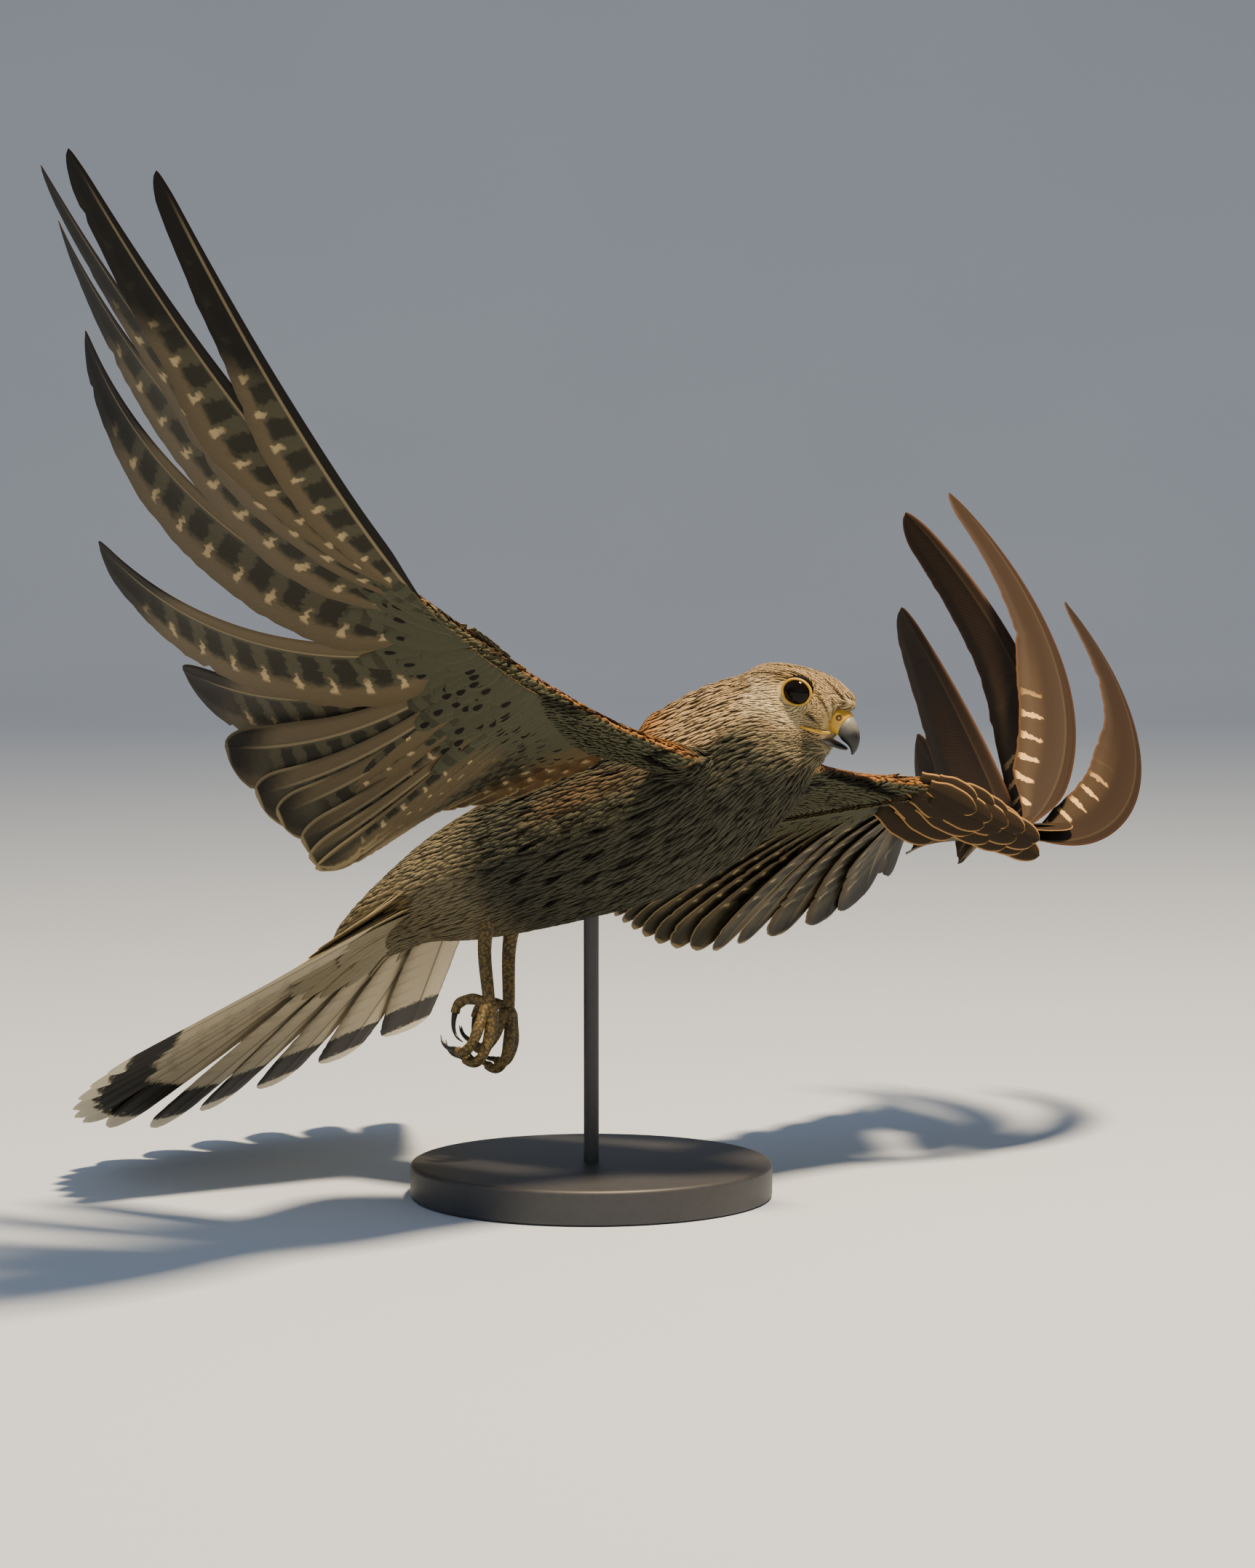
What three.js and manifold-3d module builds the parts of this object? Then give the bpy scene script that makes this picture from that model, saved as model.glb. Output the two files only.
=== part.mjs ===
// Common kestrel in hovering flight, life size, held on a plain display stand.
// Millimetres, +Z up. The origin is the middle of the underside of the stand's base.
// The bird is modelled in its own frame: x ahead, y to its left, z up, with the origin
// midway between the shoulders. The whole bird is then pitched, banked and raised.
import * as THREE from "three";
import { mergeVertices } from "three/addons/utils/BufferGeometryUtils.js";
import Module from "manifold-3d";

const wasm = await Module();
wasm.setup();

// Driving dimensions of the display.
const SHOULDERS_AT = [55, 0, 146];
const PITCH_UP = 23.5;
const BANK_LEFT = 16;
const GAP = 0.35;
const BASE = { radius: 62, height: 12, bevel: 1.6, sides: 48 };
const ROD = { radius: 2.6, sides: 16, drop: 28 };

// The trunk and neck, from tail coverts to head: x, y, z of the centre, half width, half height.
const TRUNK = [
  [-174, 5, 1, 12, 2.6],
  [-164, 4, 2.6, 17, 5.2],
  [-152, 2.5, 4.4, 19.5, 8.6],
  [-138, 1, 5.6, 20.5, 13.4],
  [-120, 0, 5.4, 22, 19.5],
  [-95, 0, 4.2, 24.5, 24],
  [-68, 0, 1.8, 27, 26.4],
  [-40, 0, -0.4, 28.5, 28],
  [-14, 0, -0.4, 27, 27.2],
  [8, -0.4, 4.2, 22.4, 24.6],
  [20, -0.8, 8.6, 18.8, 22],
  [30, -1, 11, 14.5, 16],
  [36, -1, 12, 8, 8],
];
const TRUNK_SIDES = 20;
const TAIL_CUT = { at: [-134, 0, 0], normal: [1, 0, 0] };
const NECK_CUT = { at: [7, 0, 2], normal: [0.97, 0, 0.24] };
const HEAD_CUT = { at: [23, -0.5, 8], normal: [0.93, -0.1, 0.2] };

// The head, in its own frame: x towards the bill, z to the crown, origin between the eyes.
const HEAD = { at: [37, -0.3, 15.5], yaw: 15, pitch: 42, roll: 17.9 };
// x, top, bottom, half width of each section.
const SKULL = [
  [-23, -1.5, -9, 6],
  [-20, 2.2, -13.5, 10],
  [-15.5, 4.8, -16.5, 12.4],
  [-10, 6.5, -17, 13.2],
  [-4.5, 7.6, -16.4, 12.8],
  [1, 8.2, -15.4, 11.8],
  [5.5, 8.3, -15, 10.5],
  [9.5, 7.6, -15, 9.2],
  [13, 6.2, -13.4, 7.4],
];
const SKULL_SIDES = 20;
const SKULL_FULLNESS = 0.92;
const EYE = { radius: 6, x: 0.4, side: 7.1, z: 0.3, opening: 4.2, lid: 0.7, turn: 15 };
const BROW = { x: 2, side: 10, z: 5.3, length: 6.5, width: 1.6, height: 1.1 };
const NOSTRIL = { x: 15.4, side: 3.8, z: -2.8, radius: 0.9 };
const MOUTH = { corner: [4.6, -10], front: [14.5, -9.9], opening: 1.1 };
// x, z, nose-down angle, half height, half width along the bill.
const CERE = [
  [13.4, -3.9, 4, 4.9, 4.9],
  [15.2, -4.3, 7, 4.6, 4.5],
  [16.6, -5, 11, 4.2, 4.1],
];
const UPPER_BILL = [
  [17, -5.1, 12, 4.1, 3.9],
  [18.8, -6.5, 20, 3.7, 3.4],
  [20.4, -7.6, 34, 3.1, 2.8],
  [21.6, -9.1, 52, 2.2, 2.1],
  [22.4, -10.6, 68, 1.3, 1.3],
  [22.6, -12, 80, 0.7, 0.7],
  [22.5, -13, 88, 0.25, 0.25],
];
const LOWER_BILL = [
  [13.4, -12, 0, 1.1, 4.2],
  [16, -12, 0, 1.1, 3.4],
  [18.4, -12, -4, 0.9, 2.3],
  [19.6, -11.9, -8, 0.6, 1.3],
  [20.3, -11.8, -12, 0.3, 0.5],
];
const BILL_SIDES = 12;

// One wing's flight feathers are numbered from the outermost: 0 to 9 are the primaries of the
// hand, 10 to 21 the secondaries of the forearm, 22 to 24 the tertials by the elbow.
const FIRST_SECONDARY = 10;
const FIRST_TERTIAL = 22;
const LAST_FEATHER = 24;
const LAST_POINTED = 2;
const LAST_TAPERED = 5;
// Number, place of the root along the bones, out from the wrist or back from it.
const ROOTS = [
  [0, 50],
  [1, 48],
  [2, 42.5],
  [4, 31],
  [6, 20],
  [9, 5],
  [10, -4],
  [21, -46],
  [24, -62],
];
// Number, length, width of the outer web, width of the inner web.
const FEATHERS = [
  [0, 178, 3.2, 13.5],
  [1, 192, 4.4, 18.5],
  [2, 192, 5.2, 21.5],
  [3, 178, 5.8, 25],
  [4, 160, 6.4, 26],
  [5, 143, 7, 25],
  [6, 130, 7.4, 21],
  [7, 120, 7.6, 18],
  [8, 113, 7.6, 17],
  [9, 107, 7.4, 15],
  [10, 100, 7.4, 15],
  [13, 97, 7.4, 15],
  [17, 88, 7.4, 14],
  [21, 76, 7.4, 13],
  [24, 54, 7.4, 11],
];
const VANE_THICK = 0.7;
const SHINGLE_STEP = 1.1;
const MOST_TILT = 20;
const COVERT_LIFT = 3.3;
const OUTER_LAP = 0.5;
const INNER_LAP = 1.5;

// The pose of each wing, as of a left wing. Hand and fan angles are turns outwards from straight
// back and lifts above level. Fan rows: number, turn, lift, upward bend of the whole feather and,
// where it has one, the slide of its root along the hand.
const WINGS = {
  left: {
    side: 1,
    shoulder: [0, 18, 3],
    front: [16, 16, 4],
    elbow: [-22, 55, 8],
    wrist: [15.4, 94.8, 10.6],
    hand: [104, -15],
    lean: 0.25,
    fan: [
      [0, 83.2, 54.2, 111, 6.1],
      [1, 65.4, 70.3, 88.4],
      [2, 51, 70, 108],
      [3, 52, 54.5, 100, -2],
      [4, 54.7, 33.9, 78, -5],
      [5, 50.9, 14.6, -24, -9],
      [6, 44.5, 6.7, -30, -9.5],
      [7, 36.2, 1, -30, -7.5],
      [8, 25.4, -3.6, -28, -5],
      [9, 14.3, -8.3, -26, -2.5],
      [10, 5, -14, -24],
      [12, -4, -15, -20],
      [15, -13, -13, -16],
      [18, -20, -11, -12],
      [21, -18, -5, -8],
      [24, -12, 1, -5],
    ],
  },
  right: {
    side: -1,
    shoulder: [0, 18, 3],
    front: [9, 16, -5],
    elbow: [-17, 58, 9],
    wrist: [-1.8, 109.5, 10],
    hand: [95, 14],
    lean: 0.1,
    fan: [
      [0, 107, 26, 41],
      [1, 98, 30, 48],
      [2, 90, 35, 55],
      [3, 76, 44, 63],
      [4, 54, 47, 72],
      [5, 20, 32, 61],
      [6, 0, 20, 46],
      [7, -4, 9, 34],
      [8, -5, 1, 26],
      [9, -4, -3, 20],
      [10, -1, -9, 14],
      [12, 2, -15, 10],
      [15, 0, -12, 6],
      [18, -3, -6, 6],
      [21, -5, 0, 5],
      [24, -6, 3, 5],
    ],
  },
};

// The tail: twelve feathers fanned about its own axis, twisted so that its right side is lower.
// The right half is closed up more than the left.
const TAIL = {
  root: [-134, 0.5, 6.5],
  turn: -16,
  drop: 17,
  fan: { left: 64, right: 34.5 },
  twist: 16.5,
  droop: -6,
  pairs: 6,
  centreLength: 147,
  outerLength: 128,
  outerWeb: 8,
  innerWeb: 15,
  spread: 13,
  bend: -1.6,
  stack: 1,
};

// The legs hang below the vent with the toes closed. Toe and claw points are measured from the
// joint at the foot of the shank: x ahead, y outwards, z up.
const LEGS = {
  left: {
    side: 1,
    hip: [-101, 7.5, -8],
    ankle: [-108, 8.4, -20],
    joint: [-113, 8.6, -42],
    toeSpan: 0.95,
  },
  right: {
    side: -1,
    hip: [-99, 7.5, -8],
    ankle: [-106, 8.2, -22],
    joint: [-108.5, 8.2, -45],
    toeSpan: 0.92,
  },
};
const SHANK = { top: 3.2, ankle: 2.5, foot: 2.1, sides: 8, steps: 8 };
const TOES = {
  middle: [[0, 0, 1], [-1.5, 0, -8], [-5.5, 0.4, -16], [-11, 0.8, -18.5], [-15, 1, -15]],
  inner: [[0, -1.6, 1], [-3, -3.8, -6], [-8, -4.6, -11], [-12, -4.6, -11.5], [-14, -4.6, -8.5]],
  outer: [[0, 1.6, 1], [-2.8, 4.2, -7], [-6.5, 5.4, -13], [-11, 5.6, -15], [-14, 5.6, -13]],
  hind: [[0.5, 0, 1], [-5, 0.2, 5], [-10, 0.4, 6.6], [-14, 0.5, 6], [-16, 0.5, 3]],
};
const CLAWS = {
  middle: [[-19.4, 1, -12], [-21.6, 1, -8.8], [-21.9, 0.8, -4.8]],
  inner: [[-16.8, -4.6, -5.4], [-18.6, -4.6, -2.6], [-18.8, -4.4, 0.6]],
  outer: [[-17.8, 5.6, -10.8], [-19.8, 5.6, -7.8], [-20, 5.4, -4.4]],
  hind: [[-17.7, 0.5, -1.6], [-17, 0.5, -5.8], [-14.2, 0.5, -9]],
};
const TOE = { radius: [2.1, 1.75], sides: 6, steps: 6 };
const CLAW = { radius: [1.25, 0.18], sides: 6, steps: 6, gap: 0.5 };

const COLOUR = {
  underside: 0xb9a98a,
  mantle: 0xa8683c,
  head: 0x9c917d,
  flight: 0x55493c,
  tail: 0xb5b0a6,
  eye: 0x0b0908,
  cere: 0xd6a83a,
  bill: 0x3b424a,
  leg: 0xc99b3c,
  claw: 0x17181b,
  stand: 0x2b2b2d,
};

const RAD = Math.PI / 180;
const vec = (list) => new THREE.Vector3(...list);

// A row of smooth values from a table whose first column is where each row holds.
function sample(table, at) {
  let k = 0;
  while (k < table.length - 2 && at > table[k + 1][0]) k++;
  const before = table[Math.max(k - 1, 0)];
  const from = table[k];
  const to = table[k + 1];
  const after = table[Math.min(k + 2, table.length - 1)];
  const span = to[0] - from[0];
  const t = (at - from[0]) / span;
  return from.slice(1).map((value, column) => {
    const j = column + 1;
    const slopeIn = ((to[j] - before[j]) / (to[0] - before[0])) * span;
    const slopeOut = ((after[j] - value) / (after[0] - from[0])) * span;
    const t2 = t * t;
    const t3 = t2 * t;
    return (
      (2 * t3 - 3 * t2 + 1) * value +
      (t3 - 2 * t2 + t) * slopeIn +
      (3 * t2 - 2 * t3) * to[j] +
      (t3 - t2) * slopeOut
    );
  });
}

// A closed solid from points and triangles, turned to face out.
function solidOf(points, triangles) {
  const make = (order) =>
    new wasm.Manifold(
      new wasm.Mesh({
        numProp: 3,
        vertProperties: new Float32Array(points.flatMap((p) => p.toArray())),
        triVerts: new Uint32Array(order),
      }),
    );
  const made = make(triangles);
  return made.volume() > 0 ? made : make(triangles.toReversed());
}

// A closed three.js geometry as a solid.
function solidFromGeometry(geometry) {
  const bare = geometry.clone();
  bare.deleteAttribute("normal");
  bare.deleteAttribute("uv");
  const merged = mergeVertices(bare, 1e-4);
  const place = merged.attributes.position;
  const points = Array.from({ length: place.count }, (_, i) =>
    new THREE.Vector3().fromBufferAttribute(place, i),
  );
  return solidOf(points, Array.from(merged.index.array));
}

// The largest closed surface of a solid, which drops scraps and fills sealed hollows.
function largest(solid) {
  const bodies = solid.decompose();
  return bodies.reduce((best, body) => (body.volume() > best.volume() ? body : best));
}

function union(solids) {
  return wasm.Manifold.union(solids);
}

// A solid through a row of rings that have the same number of points.
function loft(rings) {
  const sides = rings[0].length;
  const last = (rings.length - 1) * sides;
  const faces = [];
  for (let r = 0; r < rings.length - 1; r++) {
    for (let s = 0; s < sides; s++) {
      const a = r * sides + s;
      const b = r * sides + ((s + 1) % sides);
      faces.push(a, b, b + sides, a, b + sides, a + sides);
    }
  }
  for (let s = 1; s < sides - 1; s++) {
    faces.push(0, s + 1, s, last, last + s, last + s + 1);
  }
  return solidOf(rings.flat(), faces);
}

// A ring of a rounded section: its centre, two half axes, and how square its corners are.
function ring(centre, across, up, sides, fullness = 1) {
  return Array.from({ length: sides }, (_, k) => {
    const turn = ((k + 0.5) / sides) * 2 * Math.PI;
    const c = Math.cos(turn);
    const s = Math.sin(turn);
    return centre
      .clone()
      .addScaledVector(across, Math.sign(c) * Math.abs(c) ** fullness)
      .addScaledVector(up, Math.sign(s) * Math.abs(s) ** fullness);
  });
}

// A round tube of changing radius along a curve.
function taperedTube(curve, radiusAt, steps, sides) {
  const frames = curve.computeFrenetFrames(steps);
  return loft(
    Array.from({ length: steps + 1 }, (_, i) => {
      const radius = radiusAt(i / steps);
      const across = frames.normals[i].clone().multiplyScalar(radius);
      const up = frames.binormals[i].clone().multiplyScalar(radius);
      return ring(curve.getPointAt(i / steps), across, up, sides);
    }),
  );
}

// A thin vane from its stations: centre of the shaft, direction across to the inner web,
// up direction, and the width of each web. Both faces are split alike.
function vane(stations, thick) {
  const points = stations.flatMap(({ at, across, up, outer, inner }) =>
    [
      [-outer, 0.5],
      [inner, 0.5],
      [inner, -0.5],
      [-outer, -0.5],
    ].map(([wide, high]) => at.clone().addScaledVector(across, wide).addScaledVector(up, high * thick)),
  );
  const faces = [];
  for (let r = 0; r < stations.length - 1; r++) {
    const [a, b, c, d] = [0, 1, 2, 3].map((s) => r * 4 + s);
    const [a1, b1, c1, d1] = [a + 4, b + 4, c + 4, d + 4];
    faces.push(a, b, b1, a, b1, a1);
    faces.push(d, c1, c, d, d1, c1);
    faces.push(b, c, c1, b, c1, b1);
    faces.push(d, a, a1, d, a1, d1);
  }
  const e = (stations.length - 1) * 4;
  faces.push(0, 2, 1, 0, 3, 2, e, e + 1, e + 2, e, e + 2, e + 3);
  return solidOf(points, faces);
}

// How far along a feather its stations lie, with the share of each web's full width there.
const POINTED = [
  [0, 0.3, 0.25],
  [0.14, 0.9, 0.8],
  [0.32, 1, 1],
  [0.5, 1, 1],
  [0.64, 0.85, 0.72],
  [0.8, 0.66, 0.52],
  [0.93, 0.42, 0.32],
  [1, 0.08, 0.06],
];
const TAPERED = [
  [0, 0.3, 0.25],
  [0.14, 0.9, 0.8],
  [0.32, 1, 1],
  [0.5, 1, 1],
  [0.68, 0.95, 0.92],
  [0.84, 0.78, 0.7],
  [0.94, 0.5, 0.44],
  [1, 0.1, 0.08],
];
const BLUNT = [
  [0, 0.3, 0.25],
  [0.2, 0.9, 0.8],
  [0.5, 1, 1],
  [0.78, 1, 1],
  [0.92, 0.82, 0.76],
  [1, 0.32, 0.3],
];
const HAND_COVERT = [
  [0, 0.5, 0.5],
  [0.14, 0.9, 0.8],
  [0.32, 0.85, 0.8],
  [0.37, 0.3, 0.3],
];
const ARM_COVERT = [
  [0, 0.7, 0.7],
  [0.4, 0.9, 0.9],
  [0.47, 0.35, 0.35],
];

function flightProfile(i) {
  if (i <= LAST_POINTED) return POINTED;
  return i <= LAST_TAPERED ? TAPERED : BLUNT;
}

// The wing as functions of feather number and place along the feather.
function wingForm(pose) {
  const [shoulder, front, elbow, wrist] = [pose.shoulder, pose.front, pose.elbow, pose.wrist].map(vec);
  const heading = (turn, lift) =>
    vec([
      -Math.cos(turn * RAD) * Math.cos(lift * RAD),
      Math.sin(turn * RAD) * Math.cos(lift * RAD),
      Math.sin(lift * RAD),
    ]);
  const hand = heading(...pose.hand);
  const forearm = elbow.clone().sub(wrist);
  const humerus = shoulder.clone().sub(elbow).normalize();
  const fan = pose.fan.map(([number, turn, lift, bend, slide = 0]) => [
    number,
    ...heading(turn, lift).toArray(),
    bend,
    slide,
  ]);

  // A point on the line of the bones, out from the wrist or back from it.
  function bone(distance) {
    if (distance >= 0) return wrist.clone().addScaledVector(hand, distance);
    const length = forearm.length();
    if (-distance <= length) return wrist.clone().addScaledVector(forearm, -distance / length);
    return elbow.clone().addScaledVector(humerus, -distance - length);
  }

  // A point of feather number i, a share t of the way to its tip.
  function point(i, t) {
    const [x, y, z, degrees, slide] = sample(fan, i);
    const chord = vec([x, y, z]).normalize();
    const bend = degrees * RAD;
    const [distance] = sample(ROOTS, i);
    const rise = vec([-pose.lean, 0, 1]);
    rise.addScaledVector(chord, -rise.dot(chord)).normalize();
    const length = sample(FEATHERS, i)[0] / bend;
    const along = length * (Math.sin((t - 0.5) * bend) + Math.sin(0.5 * bend));
    const upward = length * (Math.cos(0.5 * bend) - Math.cos((t - 0.5) * bend));
    return bone(distance + slide).addScaledVector(chord, along).addScaledVector(rise, upward);
  }

  // The shaft's direction, the inner web's direction and the upper side's, at a point.
  function frame(i, t) {
    const step = 0.01;
    const ahead = point(i, t + step).sub(point(i, t - step)).normalize();
    const low = Math.max(i - 0.5, 0);
    const high = Math.min(i + 0.5, LAST_FEATHER);
    const across = point(high, t).sub(point(low, t)).divideScalar(high - low);
    const level = vec([0, 0, 1]).cross(ahead).multiplyScalar(3);
    across.addScaledVector(ahead, -across.dot(ahead));
    const spacing = across.length();
    across.add(level);
    across.addScaledVector(ahead, -across.dot(ahead)).normalize();
    const up = ahead.clone().cross(across);
    const tilt = Math.min(Math.atan(SHINGLE_STEP / spacing), MOST_TILT * RAD);
    const inner = across.clone().multiplyScalar(Math.cos(tilt)).addScaledVector(up, -Math.sin(tilt));
    return { across: inner, up: ahead.clone().cross(inner), spacing };
  }

  return { point, frame, bone, hand, shoulder, front, elbow, wrist };
}

// One flight feather, or with some lift a covert that lies over or under its base.
// Where feathers crowd, a web is no wider than it takes to lie over its neighbour.
function wingFeather(form, i, { profile, lift = 0, grow = 0 }) {
  const [, outer, inner] = sample(FEATHERS, i);
  const stations = profile.map(([t, outerShare, innerShare]) => {
    const { across, up, spacing } = form.frame(i, t);
    return {
      at: form.point(i, t).addScaledVector(up, lift),
      across,
      up,
      outer: Math.min(outer * outerShare, spacing * OUTER_LAP + 1) + grow,
      inner: Math.min(inner * innerShare, spacing * INNER_LAP + 1) + grow,
    };
  });
  return vane(stations, VANE_THICK + 2 * grow);
}

// A flattened section of an arm or hand between its front and back edges.
const WING_SECTION = [
  [1, 0],
  [0.9, 0.7],
  [0.6, 1],
  [0.2, 0.7],
  [0, 0],
  [0.2, -0.6],
  [0.6, -0.9],
  [0.9, -0.65],
];

function wingSection(front, back, up, thick, grow) {
  const chord = front.clone().sub(back);
  const reach = chord.clone().normalize();
  return WING_SECTION.map(([along, high]) =>
    back
      .clone()
      .addScaledVector(chord, along)
      .addScaledVector(reach, (along - 0.5) * 2 * grow)
      .addScaledVector(up, high * (thick + grow)),
  );
}

const ARM_STATIONS = 6;
const ARM_THICK = [6.5, 4.4];
const PATAGIUM_HOLLOW = 4;
const WRIST_FRONT = 5;
const ARM_BACK = 8;
const HAND_LENGTH = 54;
const HAND_STATIONS = 4;

function armFlesh(form) {
  const front = form.front;
  const wristFront = form.wrist.clone().add(vec([WRIST_FRONT, 0, 0]));
  const boneLength = form.wrist.distanceTo(form.elbow) + form.elbow.distanceTo(form.shoulder);
  const rings = Array.from({ length: ARM_STATIONS + 1 }, (_, k) => {
    const share = k / ARM_STATIONS;
    const hollow = PATAGIUM_HOLLOW * Math.sin(share * Math.PI);
    const leading = front.clone().lerp(wristFront, share).add(vec([-hollow, 0, 0]));
    const trailing = form.bone(-(1 - share) * boneLength).add(vec([-ARM_BACK * (1 - 0.3 * share), 0, 0]));
    const thick = THREE.MathUtils.lerp(...ARM_THICK, share);
    return wingSection(leading, trailing, vec([0, 0, 1]), thick, 0);
  });
  return loft(rings);
}

function handFlesh(form, grow) {
  const up = form.frame(4, 0).up;
  const forward = form.hand.clone().cross(up).normalize();
  if (forward.x < 0) forward.negate();
  const rings = Array.from({ length: HAND_STATIONS + 1 }, (_, k) => {
    const share = k / HAND_STATIONS;
    const centre = form.bone(0.01).addScaledVector(form.hand, -1 - grow + share * (HAND_LENGTH + 2 * grow));
    const leading = centre.clone().addScaledVector(forward, THREE.MathUtils.lerp(WRIST_FRONT, 2, share));
    const trailing = centre.clone().addScaledVector(forward, THREE.MathUtils.lerp(-7, -3, share));
    return wingSection(leading, trailing, up, THREE.MathUtils.lerp(4.4, 2.6, share), grow);
  });
  return loft(rings);
}

// The feathers numbered from first to last, with a covert above and below every second one.
function featherTiers(form, first, last, grow) {
  const solids = [];
  for (let i = first; i <= last; i++) {
    solids.push(wingFeather(form, i, { profile: flightProfile(i), grow }));
    if (i % 2) {
      const profile = i < FIRST_SECONDARY ? HAND_COVERT : ARM_COVERT;
      solids.push(wingFeather(form, i, { profile, lift: COVERT_LIFT, grow }));
      solids.push(wingFeather(form, i, { profile, lift: -COVERT_LIFT, grow }));
    }
  }
  return solids;
}

function wingHand(form, grow = 0) {
  return largest(union([handFlesh(form, grow), ...featherTiers(form, 0, FIRST_SECONDARY - 1, grow)]));
}

function wingArm(form, handGrown, bodyGrown) {
  const whole = union([armFlesh(form), ...featherTiers(form, FIRST_SECONDARY, LAST_FEATHER, 0)]);
  return largest(whole.subtract(handGrown).subtract(bodyGrown));
}

function trunkSolid(grow = 0) {
  const rings = TRUNK.map(([x, y, z, wide, high], k) => {
    const before = TRUNK[Math.max(k - 1, 0)];
    const after = TRUNK[Math.min(k + 1, TRUNK.length - 1)];
    const ahead = vec(after.slice(0, 3)).sub(vec(before.slice(0, 3))).normalize();
    const across = vec([0, 0, 1]).cross(ahead).normalize();
    const up = ahead.clone().cross(across);
    return ring(
      vec([x, y, z]),
      across.multiplyScalar(wide + grow),
      up.multiplyScalar(high + grow),
      TRUNK_SIDES,
    );
  });
  return loft(rings);
}

// The trunk is made whole with the head and parted by thin plane cuts.
function cutAhead(solid, { at, normal }) {
  const across = vec(normal).normalize();
  return solid.trimByPlane(across.toArray(), across.dot(vec(at)) + GAP / 2);
}

function cutBehind(solid, { at, normal }) {
  const across = vec(normal).normalize().negate();
  return solid.trimByPlane(across.toArray(), across.dot(vec(at)) + GAP / 2);
}

const headTurn = new THREE.Euler(HEAD.roll * RAD, HEAD.pitch * RAD, HEAD.yaw * RAD, "ZYX");
const headPlace = new THREE.Matrix4().makeRotationFromEuler(headTurn).setPosition(...HEAD.at);

const placed = (solid, matrix) => solid.transform(matrix.toArray());

function skullSolid(grow = 0) {
  return loft(
    SKULL.map(([x, top, bottom, wide]) => {
      const centre = vec([x, 0, (top + bottom) / 2]);
      const high = (top - bottom) / 2 + grow;
      return ring(centre, vec([0, wide + grow, 0]), vec([0, 0, high]), SKULL_SIDES, SKULL_FULLNESS);
    }),
  );
}

function sphere(radius, at, sides = 16) {
  const ball = new THREE.SphereGeometry(radius, sides, sides / 2);
  return solidFromGeometry(ball.translate(...at));
}

// The ring of skin round an eye, lying on the head's side.
function eyeRing(side) {
  const lid = new THREE.TorusGeometry(EYE.opening + EYE.lid / 2, EYE.lid, 5, 16);
  lid.rotateX(Math.PI / 2);
  const depth = Math.sqrt(EYE.radius ** 2 - EYE.opening ** 2);
  lid.translate(0, side * depth, 0).rotateZ(-side * EYE.turn * RAD);
  return solidFromGeometry(lid.translate(EYE.x, side * EYE.side, EYE.z));
}

function brow(side) {
  const ridge = new THREE.SphereGeometry(1, 10, 6);
  ridge.scale(BROW.length, BROW.width, BROW.height);
  ridge.rotateY(0.12);
  ridge.rotateZ(-side * 0.3);
  return solidFromGeometry(ridge.translate(BROW.x, side * BROW.side, BROW.z));
}

function headForm() {
  const sides = [1, -1];
  return union([skullSolid(), ...sides.map(eyeRing), ...sides.map(brow)]);
}

// The eye sockets and the slit of the mouth.
function headCutters() {
  const sockets = [1, -1].map((side) => sphere(EYE.radius + GAP, [EYE.x, side * EYE.side, EYE.z]));
  const [cornerX, cornerZ] = MOUTH.corner;
  const [frontX, frontZ] = MOUTH.front;
  const wedge = new THREE.Shape();
  wedge.moveTo(cornerX, cornerZ);
  wedge.lineTo(frontX, frontZ + MOUTH.opening / 2);
  wedge.lineTo(frontX, frontZ - MOUTH.opening);
  const slot = new THREE.ExtrudeGeometry(wedge, { depth: 30, bevelEnabled: false });
  slot.rotateX(Math.PI / 2).translate(0, 15, 0);
  return union([...sockets, solidFromGeometry(slot)]);
}

function billLoft(rows) {
  return loft(
    rows.map(([x, z, down, high, wide]) => {
      const up = vec([Math.sin(down * RAD), 0, Math.cos(down * RAD)]);
      return ring(vec([x, 0, z]), vec([0, wide, 0]), up.multiplyScalar(high), BILL_SIDES);
    }),
  );
}

function cereSolid() {
  const nostrils = [1, -1].map((side) =>
    sphere(NOSTRIL.radius, [NOSTRIL.x, side * (NOSTRIL.side + NOSTRIL.radius), NOSTRIL.z], 10),
  );
  return billLoft(CERE).subtract(union(nostrils));
}

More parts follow.
